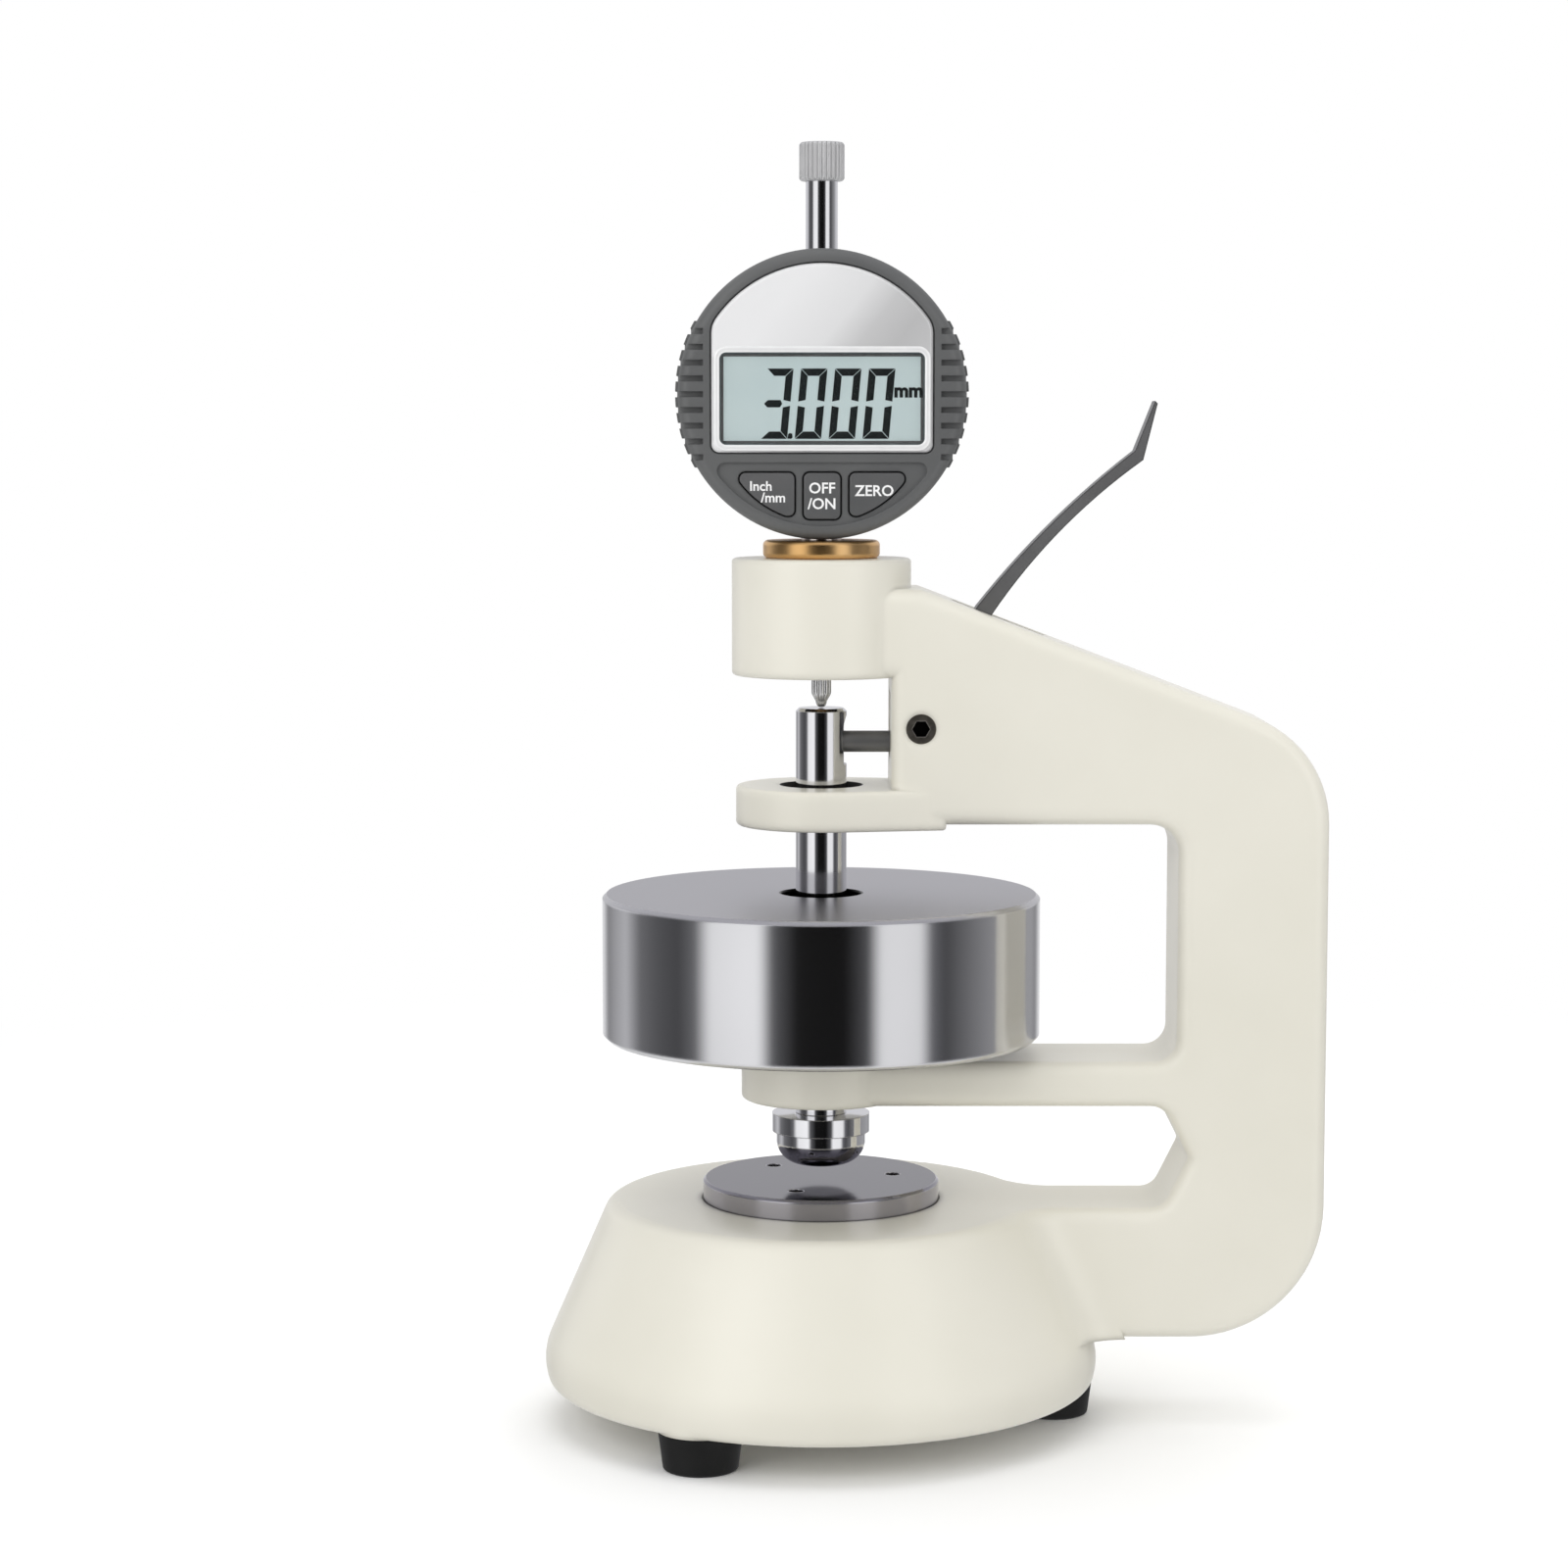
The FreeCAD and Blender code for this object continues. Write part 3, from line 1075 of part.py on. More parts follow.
def cut_front(body):
    """Sink the seats of the face plate and the button panel and cut the openings through the wall."""
    face = new_sketch(body, "face_seat_outline", offset="dial_front")
    add_loop(face, face_corners("face_gap"))
    extrude("Pocket", body, "face_seat_cut", face, "face_sunk")
    round_face(body, "face_seat", "face_gap")
    panel = new_sketch(body, "panel_outline", offset="dial_front")
    reach = "sqrt(panel_radius^2 - panel_top^2)"
    add_loop(panel, [
        (reach, "0 - panel_top", "panel_radius", 1), (f"0 - {reach}", "0 - panel_top"),
        ("0", "0 - panel_radius", "panel_radius", 1),
    ])
    extrude("Pocket", body, "panel_cut", panel, "panel_sunk")
    dress("Fillet", body, "panel_corners", "panel_round",
          lambda e: is_corner(e, reach, "0 - panel_top") or is_corner(e, f"0 - {reach}", "0 - panel_top"))
    opening = new_sketch(body, "screen_opening", offset="dial_front")
    add_loop(opening, window_corners("window_ledge"))
    extrude("Pocket", body, "screen_cut", opening, "front_wall + overshoot")
    holes = new_sketch(body, "button_holes", offset="dial_front")
    for _, side in BUTTONS:
        add_button_loop(holes, side, "button_gap")
    extrude("Pocket", body, "button_cut", holes, "front_wall + overshoot")
    dress("Fillet", body, "button_hole_corners", "button_round + button_gap",
          lambda e: is_crosswise(e) and near(e.BoundBox.YMin, "0 - panel_seat"))


def add_posts(body):
    """Posts on the inside wall that take the screws of the back cover."""
    places = on_circle("cover_screw_circle", "cover_screw_count", "45")
    posts = new_sketch(body, "post_outlines", offset="0 - split")
    for x, z in places:
        add_circle(posts, x, z, "post_radius")
    extrude("Pad", body, "posts", posts, "post_long")
    holes = new_sketch(body, "post_holes", offset="0 - split")
    for x, z in places:
        add_circle(holes, x, z, "cover_screw_radius + seat_gap")
    extrude("Pocket", body, "post_bores", holes, "cover_screw_long", back=True)


def add_back_cover():
    """Back cover with a battery well, counterbored for four screws."""
    body = new_body("indicator_back_cover", "dial_middle")
    disc = new_sketch(body, "cover_outline", offset="0 - split")
    add_circle(disc, "0", "0", "dial_radius")
    extrude("Pad", body, "cover_disc", disc, "cover_thick", back=True)
    dress("Fillet", body, "cover_rounding", "cover_round", lambda e: in_depth(e, "dial_back"))
    well = new_sketch(body, "cell_well_outline", offset="cell_well_deep - split")
    add_circle(well, "0", "0", "lid_radius + cell_well_wall")
    extrude("Pad", body, "cell_well", well, "cell_well_deep", back=True)
    lid = new_sketch(body, "lid_seat_outline", offset="0 - dial_back")
    add_circle(lid, "0", "0", "lid_radius + seat_gap")
    extrude("Pocket", body, "lid_seat", lid, "lid_thick", back=True)
    cell = new_sketch(body, "cell_seat_outline", offset="0 - dial_back")
    add_circle(cell, "0", "0", "cell_radius + open_gap")
    extrude("Pocket", body, "cell_seat", cell, "lid_thick + cell_thick + seat_gap", back=True)
    for name, radius, depth in (
        ("cover_screw_heads", "cover_screw_head + seat_gap", "cover_screw_head_high"),
        ("cover_screw_holes", "cover_screw_radius + seat_gap", "cover_thick + overshoot"),
    ):
        holes = new_sketch(body, name + "_outline", offset="0 - dial_back")
        for x, z in on_circle("cover_screw_circle", "cover_screw_count", "45"):
            add_circle(holes, x, z, radius)
        extrude("Pocket", body, name, holes, depth, back=True)
    return body


def add_cover_screws():
    """Four screws of the back cover."""
    screws = []
    for number, (x, z) in enumerate(on_circle("cover_screw_circle", "cover_screw_count", "45"), 1):
        screw = new_body(f"cover_screw_{number}", f"dial_middle + {z}", x)
        under_head = "dial_back - cover_screw_head_high"
        end = f"{under_head} - cover_screw_long"
        revolve("Revolution", screw, f"cover_screw_turned_{number}", [
            ("0", end), ("cover_screw_radius", end), ("cover_screw_radius", under_head),
            ("cover_screw_head", under_head), ("cover_screw_head", "dial_back"), ("0", "dial_back"),
        ], "XY_Plane")
        screws.append(screw)
    return together("back_cover_screws", screws)


def add_coin_cell():
    """Coin cell in the battery well."""
    body = new_body("coin_cell", "dial_middle")
    outline = new_sketch(body, "coin_cell_outline", offset="lid_thick - dial_back")
    add_circle(outline, "0", "0", "cell_radius")
    extrude("Pad", body, "coin_cell_disc", outline, "cell_thick")
    return body


def add_battery_lid():
    """Lid of the battery well with a slot for a coin."""
    body = new_body("battery_lid", "dial_middle")
    outline = new_sketch(body, "lid_outline", offset="0 - dial_back")
    add_circle(outline, "0", "0", "lid_radius")
    extrude("Pad", body, "lid_disc", outline, "lid_thick")
    slot = new_sketch(body, "lid_slot_outline", offset="0 - dial_back")
    add_loop(slot, box_loop("0 - lid_slot_half", "lid_slot_half", "0 - lid_slot_wide / 2",
                            "lid_slot_wide / 2"))
    extrude("Pocket", body, "lid_slot", slot, "lid_slot_deep", back=True)
    return body


def is_glass_corner(edge):
    """Whether an edge is a corner of the opening for the window."""
    places = [(side + "window_half", z) for side in ("", "0 - ") for z in ("window_high", "0 - window_low")]
    return any(is_corner(edge, x, z) for x, z in places)


def add_face_plate():
    """Face plate with a bevelled edge and the opening for the display window."""
    body = new_body("face_plate", "dial_middle")
    outline = new_sketch(body, "face_outline", offset="face_seat")
    add_loop(outline, face_corners("0"))
    extrude("Pad", body, "face_sheet", outline, "face_thick")
    round_face(body, "face_plate", "0")
    dress("Chamfer", body, "face_edge_bevel", "face_bevel",
          lambda e: in_depth(e, "0 - face_seat - face_thick"))
    opening = new_sketch(body, "face_opening_outline", offset="face_seat + face_thick")
    add_loop(opening, window_corners("0"))
    extrude("Pocket", body, "face_opening", opening, "face_thick + overshoot")
    dress("Fillet", body, "face_opening_corners", "glass_round", is_glass_corner)
    return body


def add_window():
    """Clear window over the display."""
    body = new_body("lcd_window", "dial_middle")
    outline = new_sketch(body, "window_outline", offset="face_seat")
    add_loop(outline, window_corners("seat_gap"))
    extrude("Pad", body, "window_sheet", outline, "window_thick")
    dress("Fillet", body, "window_corners", "glass_round - seat_gap", is_crosswise)
    return body


def add_screen():
    """Liquid crystal display behind the window."""
    body = new_body("lcd_panel", "dial_middle")
    outline = new_sketch(body, "screen_outline", offset="face_seat - seat_gap")
    add_loop(outline, window_corners("window_ledge + seat_gap"))
    extrude("Pad", body, "screen_sheet", outline, "screen_thick", back=True)
    return body


def add_board():
    """Circuit board across the housing, with a switch dome behind each button."""
    body = new_body("circuit_board", "dial_middle")
    outline = new_sketch(body, "board_outline", offset="board_front")
    add_circle(outline, "0", "0", "cavity_radius - open_gap")
    extrude("Pad", body, "board_disc", outline, "board_thick", back=True)
    domes = new_sketch(body, "dome_outlines", offset="board_front")
    add_circle(domes, "0", "0 - (button_top + mid_button_low) / 2", "dome_radius")
    for side in (-1, 1):
        add_circle(domes, f"{side} * (side_button_near + side_button_far) / 2",
                   "0 - button_top - dome_drop", "dome_radius")
    extrude("Pad", body, "domes", domes, "dome_high")
    return body


def add_slider():
    """Measuring slider clamped on the plunger behind the circuit board."""
    body = new_body("plunger_slider", "dial_middle")
    block = new_sketch(body, "slider_outline", "XY_Plane", "0 - slider_low")
    front = "board_front - board_thick - open_gap"
    add_loop(block, box_loop("0 - slider_half", "slider_half", f"0 - ({front})", "slider_back"))
    extrude("Pad", body, "slider_block", block, "slider_high")
    bore = new_sketch(body, "slider_bore_outline", "XY_Plane", "0 - slider_low")
    add_circle(bore, "0", "0", "plunger_radius + seat_gap")
    extrude("Pocket", body, "slider_bore", bore, "slider_high + overshoot", back=True)
    return body


def add_spring():
    """Coil spring that pushes the plunger down from the roof of the housing."""
    body = new_body("plunger_spring", "dial_middle")
    wire = new_sketch(body, "spring_wire_outline")
    low = "slider_high - slider_low + spring_wire + seat_gap"
    roof = "sqrt(cavity_radius^2 - (spring_radius + spring_wire)^2)"
    add_circle(wire, "spring_radius", low, "spring_wire")
    coil = body.newObject("PartDesign::AdditiveHelix", "spring_coil")
    coil.Profile = wire
    coil.ReferenceAxis = (wire, ["V_Axis"])
    coil.Mode = "height-turns-angle"
    coil.setExpression("Height", bound(f"{roof} - open_gap - spring_wire - ({low})"))
    coil.setExpression("Turns", bound("spring_turns"))
    document.recompute()
    return body


def add_button(name, side):
    """Push button with a lip behind the front wall."""
    body = new_body(name, "dial_middle")
    cap = new_sketch(body, name + "_outline", offset="inner_front")
    add_button_loop(cap, side, "0")
    extrude("Pad", body, name + "_cap", cap, "panel_seat + button_proud - inner_front")
    dress("Fillet", body, name + "_corners", "button_round", is_crosswise)
    lip = new_sketch(body, name + "_lip_outline", offset="inner_front - running_gap")
    add_button_loop(lip, side, "button_lip")
    extrude("Pad", body, name + "_lip", lip, "button_lip_thick", back=True)
    bridge = new_sketch(body, name + "_bridge_outline", offset="inner_front")
    add_button_loop(bridge, side, "(0 - button_round)")
    extrude("Pad", body, name + "_bridge", bridge, "button_lip_thick", back=True)
    return body


PIECES = [
    add_frame(), *add_feet(), add_anvil(), add_level_screws(), add_anvil_bolt(),
    add_bush("upper_guide_bush", "lug_bottom + bush_recess", "lug_top - bush_recess"),
    add_bush("lower_guide_bush", "presser_well", "mid_arm_top"),
    add_clamp_nut(), add_collet(), add_pivot_screw(),
    add_spindle(), add_weight(), add_ring(), add_presser(), add_lever(), add_rod(),
    add_stem(), add_plunger(), add_contact_point(), add_lifting_cap(), add_slider(), add_spring(),
    add_housing(), add_back_cover(), add_cover_screws(), add_coin_cell(), add_battery_lid(),
    add_face_plate(), add_window(), add_screen(), add_board(),
    *[add_button(name, side) for name, side in BUTTONS],
]


def check_and_write():
    """Stop on any failed feature, then write each piece to its own file."""
    document.recompute()
    failed = [item.Name for item in document.Objects if {"Invalid", "Error"} & set(item.State)]
    assert not failed, failed
    os.makedirs("parts", exist_ok=True)
    for piece in PIECES:
        assert not piece.Shape.isNull() and piece.Shape.isValid(), piece.Label
        piece.Shape.exportStep(f"parts/{piece.Label}.step")


check_and_write()
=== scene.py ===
"""Looks of the digital thickness gauge: camera, light and finishes round the fixed CAD frame, in metres."""
import math

import bmesh
import bpy
import numpy as np
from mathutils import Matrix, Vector


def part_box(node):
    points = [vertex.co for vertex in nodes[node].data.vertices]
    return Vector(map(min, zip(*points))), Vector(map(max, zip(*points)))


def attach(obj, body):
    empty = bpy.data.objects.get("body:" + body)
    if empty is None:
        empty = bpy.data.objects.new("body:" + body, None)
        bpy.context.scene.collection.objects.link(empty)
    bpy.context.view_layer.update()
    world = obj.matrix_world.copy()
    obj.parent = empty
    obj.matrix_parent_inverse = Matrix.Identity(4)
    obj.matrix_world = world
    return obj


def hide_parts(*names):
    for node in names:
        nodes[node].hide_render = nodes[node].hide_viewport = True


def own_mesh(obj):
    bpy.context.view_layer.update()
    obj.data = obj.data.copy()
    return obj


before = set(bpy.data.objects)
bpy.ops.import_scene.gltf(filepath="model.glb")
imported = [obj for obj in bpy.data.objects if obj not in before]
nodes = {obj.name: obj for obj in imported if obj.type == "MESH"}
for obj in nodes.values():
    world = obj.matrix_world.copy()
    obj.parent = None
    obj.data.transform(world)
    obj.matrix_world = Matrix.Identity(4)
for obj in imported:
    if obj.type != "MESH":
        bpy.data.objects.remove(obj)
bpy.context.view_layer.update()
axis_x = sum(corner.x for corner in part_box("load_spindle")) / 2


# Camera. A 36 mm sensor behind an 83.25 mm lens gives the photograph's 3700 pixels of focal length on a frame of 1600.
# It stands 708 mm in front of the spindle and 195 mm above the table, and looks down by 5.56 degrees.
camera_data = bpy.data.cameras.new("front_camera")
camera_data.sensor_width = 36
camera_data.lens = 83.25
camera_data.clip_start = 0.05
camera_data.clip_end = 20
camera = bpy.data.objects.new("front_camera", camera_data)
left_of_axis, in_front, above_table, look_down = 0.0073, 0.708, 0.19456, 5.557
camera.location = (axis_x - left_of_axis, -in_front, above_table)
camera.rotation_euler = (math.radians(90 - look_down), 0, 0)
bpy.context.scene.collection.objects.link(camera)
bpy.context.scene.camera = camera


# Studio: a white room as the camera, glass and diffuse light see it. Glossy light alone sees a light tent instead, with
# a dark gap in front, a lit panel on each side of it, dark corners, and dimmer panels at the sides and behind.
def linear(code):
    """Linear red, green, blue and alpha of an sRGB hex colour, by the sRGB curve on each channel."""
    parts = [int(code[i:i + 2], 16) / 255 for i in (1, 3, 5)]
    return [c / 12.92 if c <= 0.04045 else ((c + 0.055) / 1.055) ** 2.4 for c in parts] + [1]


def add(tree, kind, inputs=None, **settings):
    """Add a shader node, set its properties, and give each named socket a value or a link from another socket."""
    node = tree.nodes.new("ShaderNode" + kind)
    for name, value in settings.items():
        setattr(node, name, value)
    for name, value in (inputs or {}).items():
        if isinstance(value, bpy.types.NodeSocket):
            tree.links.new(value, node.inputs[name])
        else:
            node.inputs[name].default_value = value
    return node


def shades(tree, source, stops):
    """Add a colour ramp through the stops, each a place from 0 to 1 and a hex colour, and give its colour socket."""
    node = add(tree, "ValToRGB", {"Fac": source})
    node.color_ramp.elements.remove(node.color_ramp.elements[0])
    node.color_ramp.elements[0].position = stops[0][0]
    node.color_ramp.elements[0].color = linear(stops[0][1])
    for place, code in stops[1:]:
        node.color_ramp.elements.new(place).color = linear(code)
    return node.outputs["Color"]


world = bpy.data.worlds.new("light_tent")
bpy.context.scene.world = world
world.use_nodes = True
tent = world.node_tree
tent.nodes.clear()
direction = add(tent, "SeparateXYZ", {"Vector": add(tent, "TexCoord").outputs["Generated"]})
toward = add(tent, "Math", {0: direction.outputs["Y"], 1: -1.0}, operation="MULTIPLY")
turn = add(tent, "Math", {0: direction.outputs["X"], 1: toward.outputs[0]}, operation="ARCTAN2")
share = add(tent, "MapRange", {"Value": turn.outputs[0], "From Min": -math.pi, "From Max": math.pi})
panels = shades(tent, share.outputs[0], [(0.5 + degrees / 360, code) for degrees, code in (
    (-180, "#e2e2e4"), (-162, "#dadadc"), (-150, "#8a8a8c"), (-124, "#c4c4c6"), (-110, "#747476"), (-95, "#5c5c5e"),
    (-80, "#4c4c4e"), (-69, "#6c6c6e"), (-60, "#f4f4f4"), (-33, "#ffffff"), (-26, "#5a5a5c"), (-13, "#161616"),
    (12, "#101010"), (24, "#4c4c4e"), (31, "#f6f6f6"), (52, "#f2f2f2"), (59, "#66666a"), (67, "#4c4c4e"),
    (98, "#929294"), (143, "#a4a4a6"), (152, "#8a8a8c"), (163, "#dadadc"), (180, "#e2e2e4"))])
rise = add(tent, "MapRange", {"Value": direction.outputs["Z"], "From Min": -0.02, "From Max": 0.06})
behind = add(tent, "MapRange", {"Value": direction.outputs["Y"], "From Min": 0.2, "From Max": 0.6})
back_wall = add(tent, "Math", {0: rise.outputs[0], 1: behind.outputs[0]}, operation="MULTIPLY")
walls = add(tent, "Mix", {"Factor": back_wall.outputs[0], 6: panels, 7: linear("#d2d2d5")}, data_type="RGBA")
height = add(tent, "MapRange", {"Value": direction.outputs["Z"], "From Min": 0.45, "From Max": 0.8})
overhead = add(tent, "Mix", {"Factor": height.outputs[0], 6: walls.outputs[2], 7: linear("#c4c4c8")}, data_type="RGBA")
depth = add(tent, "MapRange", {"Value": direction.outputs["Z"], "From Min": -0.25, "From Max": -0.7})
tent_colour = add(tent, "Mix", {"Factor": depth.outputs[0], 6: overhead.outputs[2], 7: linear("#e8e8e8")},
                  data_type="RGBA")
path = add(tent, "LightPath")
soft = add(tent, "Background", {"Color": linear("#ffffff"), "Strength": 0.73})
gloss = add(tent, "Background", {"Color": tent_colour.outputs[2], "Strength": 1.12})
white = add(tent, "Background", {"Color": linear("#ffffff"), "Strength": 1.0})
lit = add(tent, "MixShader", {0: path.outputs["Is Glossy Ray"], 1: soft.outputs[0], 2: gloss.outputs[0]})
shown = add(tent, "Math", {0: path.outputs["Is Camera Ray"], 1: path.outputs["Is Transmission Ray"]},
            operation="MAXIMUM")
backdrop = add(tent, "MixShader", {0: shown.outputs[0], 1: lit.outputs[0], 2: white.outputs[0]})
add(tent, "OutputWorld", {"Surface": backdrop.outputs[0]})


def lamp(name, power, size, place, aim):
    """Add a square area lamp of that power and size at a place, turned to face a point and unseen by metal."""
    data = bpy.data.lights.new(name, "AREA")
    data.energy = power
    data.size = size
    item = bpy.data.objects.new(name, data)
    item.location = place
    facing = item.location - Vector(aim)
    item.rotation_euler = facing.to_track_quat("Z", "Y").to_euler()
    item.visible_glossy = False
    bpy.context.scene.collection.objects.link(item)


gauge_middle = (0, 0, 0.1)
lamp("key_panel", 5.8, 0.9, (-0.75, -1.1, 0.75), gauge_middle)
lamp("fill_panel", 2.2, 0.9, (0.95, -0.9, 0.6), gauge_middle)
lamp("top_panel", 3.8, 1.0, (0, 0.1, 1.3), gauge_middle)
lamp("back_panel", 6.0, 1.0, (0.3, 1.2, 0.5), gauge_middle)


# Table under the gauge, pale and matt. The camera sees it brighter than the rest does, so that it runs out into the
# white room 200 to 550 mm away, and its shadows stay. Metal sees the room through it.
half_table = 6.0
table_mesh = bpy.data.meshes.new("table_top")
table_mesh.from_pydata([(-half_table, -half_table, 0), (half_table, -half_table, 0), (half_table, half_table, 0),
                        (-half_table, half_table, 0)], [], [(0, 1, 2, 3)])
table_top = bpy.data.objects.new("table_top", table_mesh)
bpy.context.scene.collection.objects.link(table_top)
table_paper = bpy.data.materials.new("matt_paper")
table_paper.use_nodes = True
paper = table_paper.node_tree
paper.nodes.clear()
paper_path = add(paper, "LightPath")
paper_colour = add(paper, "Mix", {"Factor": paper_path.outputs["Is Camera Ray"], 6: linear("#e6e6e6"),
                                  7: (1.0, 1.0, 1.0, 1)}, data_type="RGBA")
paper_matt = add(paper, "BsdfDiffuse", {"Color": paper_colour.outputs[2]})
paper_reach = add(paper, "VectorMath", {0: add(paper, "TexCoord").outputs["Object"]}, operation="LENGTH")
shadows_end, all_white = 0.2, 0.55
paper_far = add(paper, "MapRange", {"Value": paper_reach.outputs["Value"], "From Min": shadows_end,
                                    "From Max": all_white}, interpolation_type="SMOOTHSTEP")
paper_fade = add(paper, "Math", {0: paper_far.outputs[0], 1: paper_path.outputs["Is Camera Ray"]},
                 operation="MULTIPLY")
paper_white = add(paper, "Emission", {"Color": linear("#ffffff"), "Strength": 1.0})
paper_seen = add(paper, "MixShader", {0: paper_fade.outputs[0], 1: paper_matt.outputs[0],
                                      2: paper_white.outputs[0]})
paper_clear = add(paper, "BsdfTransparent")
paper_mix = add(paper, "MixShader", {0: paper_path.outputs["Is Glossy Ray"], 1: paper_seen.outputs[0],
                                     2: paper_clear.outputs[0]})
add(paper, "OutputMaterial", {"Surface": paper_mix.outputs[0]})
table_mesh.materials.append(table_paper)


# The frame: one iron casting of base, column, arms, boss and lug, sprayed with ivory enamel and baked. The enamel has
# a low gloss and a faint orange peel, and it flows round the creases. The reamed bores on the axis stay bare and oily,
# and are coloured near black as painted shade inside them.
def finish(name, **sockets):
    """Start a material of that name with its shader's named sockets set, and give it, its tree and the shader."""
    made = bpy.data.materials.new(name)
    made.use_nodes = True
    made.node_tree.nodes.clear()
    labels = {"IOR" if key == "ior" else key.replace("_", " ").title(): value for key, value in sockets.items()}
    shader = add(made.node_tree, "BsdfPrincipled", labels)
    add(made.node_tree, "OutputMaterial", {"Surface": shader.outputs[0]})
    return made, made.node_tree, shader


def tint(tree, shader, source, stops):
    """Colour the shader by a value through stops of a place and a hex colour."""
    tree.links.new(shades(tree, source, stops), shader.inputs["Base Color"])


def mottled(tree, per_mm, detail=2.0, stretch=(1, 1, 1)):
    """Noise on object coordinates with that many cells to a millimetre, stretched along the axes; gives its value."""
    place = add(tree, "Mapping", {"Vector": add(tree, "TexCoord").outputs["Object"], "Scale": stretch})
    return add(tree, "TexNoise", {"Vector": place.outputs[0], "Scale": per_mm * 1000,
                                  "Detail": detail}).outputs["Fac"]


def relief(tree, shader, source, deep_mm, edge_mm=0.0):
    """Turn a value into bumps of that depth on the shader, over edges that look rounded by a radius."""
    bump = add(tree, "Bump", {"Height": source, "Distance": deep_mm / 1000})
    if edge_mm:
        soft_edge = add(tree, "Bevel", {"Radius": edge_mm / 1000}, samples=6)
        tree.links.new(soft_edge.outputs[0], bump.inputs["Normal"])
    tree.links.new(bump.outputs[0], shader.inputs["Normal"])


def from_axis(tree):
    """Distance from the spindle axis, the square root of x and y squared and added up, from object coordinates."""
    place = add(tree, "VectorMath", {0: add(tree, "TexCoord").outputs["Object"], 1: (-axis_x, 0, 0)})
    flat = add(tree, "VectorMath", {0: place.outputs[0], 1: (1, 1, 0)}, operation="MULTIPLY")
    return add(tree, "VectorMath", {0: flat.outputs[0]}, operation="LENGTH").outputs["Value"]


def bare_inside(tree, radius_mm, outer, inner, socket):
    """Use the inner value within a radius of the spindle axis and the outer one beyond it, on a shader socket."""
    near = add(tree, "Math", {0: from_axis(tree), 1: radius_mm / 1000}, operation="LESS_THAN").outputs[0]
    kind = "RGBA" if socket.type == "RGBA" else "FLOAT"
    first = 6 if kind == "RGBA" else 2
    mix = add(tree, "Mix", {0: near, first: outer, first + 1: inner}, data_type=kind)
    tree.links.new(mix.outputs[2 if kind == "RGBA" else 0], socket)


def dress(made, *names):
    """Give CAD nodes the material in place of their plain one."""
    for name in names:
        for slot in nodes[name].material_slots:
            slot.material = made


enamel, tree, shader = finish("baked_enamel", coat_weight=0.3, coat_roughness=0.14)
cream = shades(tree, mottled(tree, 0.02, 3.0), [(0.35, "#e3e0d3"), (0.65, "#e8e5d9")])
widest_bore_mm = 8.2
# Painted shade: within this radius of the axis the bores are coloured near black, over bare oily iron.
bare_inside(tree, widest_bore_mm, cream, linear("#1d1a17"), shader.inputs["Base Color"])
bare_inside(tree, widest_bore_mm, 0.4, 0.7, shader.inputs["Roughness"])
relief(tree, shader, mottled(tree, 0.5, 2.0), 0.012, edge_mm=2.2)
dress(enamel, "frame_casting")


# Feet: three moulded black rubber cups, matt with a fine moulded grain and a little dust, each held by a countersunk
# zinc plated screw.
rubber, tree, shader = finish("moulded_rubber", roughness=0.6)
shader.inputs["Specular IOR Level"].default_value = 0.3
tint(tree, shader, mottled(tree, 0.12, 3.0), [(0.3, "#090909"), (0.75, "#151515")])
relief(tree, shader, mottled(tree, 2.5, 2.0), 0.02, edge_mm=0.4)
dress(rubber, "rubber_foot_1", "rubber_foot_2", "rubber_foot_3")

zinc, tree, shader = finish("zinc_plated_steel", metallic=1.0, roughness=0.34)
tint(tree, shader, mottled(tree, 0.3, 3.0), [(0.3, "#a9aaac"), (0.7, "#c4c5c8")])
relief(tree, shader, mottled(tree, 3.0, 2.0), 0.01, edge_mm=0.2)
dress(zinc, "foot_screws", "anvil_bolt", "back_cover_screws")


# Anvil: turned from tool steel, hardened, ground and lapped until it works as a dark mirror. Its top is also coloured
# darker than its rim as a painted reflection, and its edges carry a painted highlight. The tool left fine rings on its
# rim. Its three levelling screws are black inside their holes.
def turned_lines(tree, lines_per_mm, along="Z"):
    """Tool marks as bands across the named direction of object coordinates, broken up by noise; gives 0 to 1."""
    place = add(tree, "TexCoord").outputs["Object"]
    return add(tree, "TexWave", {"Vector": place, "Scale": lines_per_mm * 1000 / (2 * math.pi), "Distortion": 1.5,
                                 "Detail": 2.0, "Detail Scale": 1.5}, bands_direction=along).outputs["Fac"]


def facing_up(tree):
    """How far a surface looks up: the upright part of its normal, from 0.5 to 0.9, stretched to 0 to 1."""
    upright = add(tree, "SeparateXYZ", {"Vector": add(tree, "NewGeometry").outputs["Normal"]}).outputs["Z"]
    return add(tree, "MapRange", {"Value": upright, "From Min": 0.5, "From Max": 0.9}).outputs[0]


def edge_share(tree, reach_mm):
    """1 on an edge and 0 off it: how far the normal rounded over that reach turns away from the true one."""
    rounded = add(tree, "Bevel", {"Radius": reach_mm / 1000}, samples=8)
    turn = add(tree, "VectorMath", {0: rounded.outputs[0], 1: add(tree, "NewGeometry").outputs["Normal"]},
               operation="DOT_PRODUCT")
    return add(tree, "MapRange", {"Value": turn.outputs["Value"], "From Min": 0.99, "From Max": 0.8}).outputs[0]


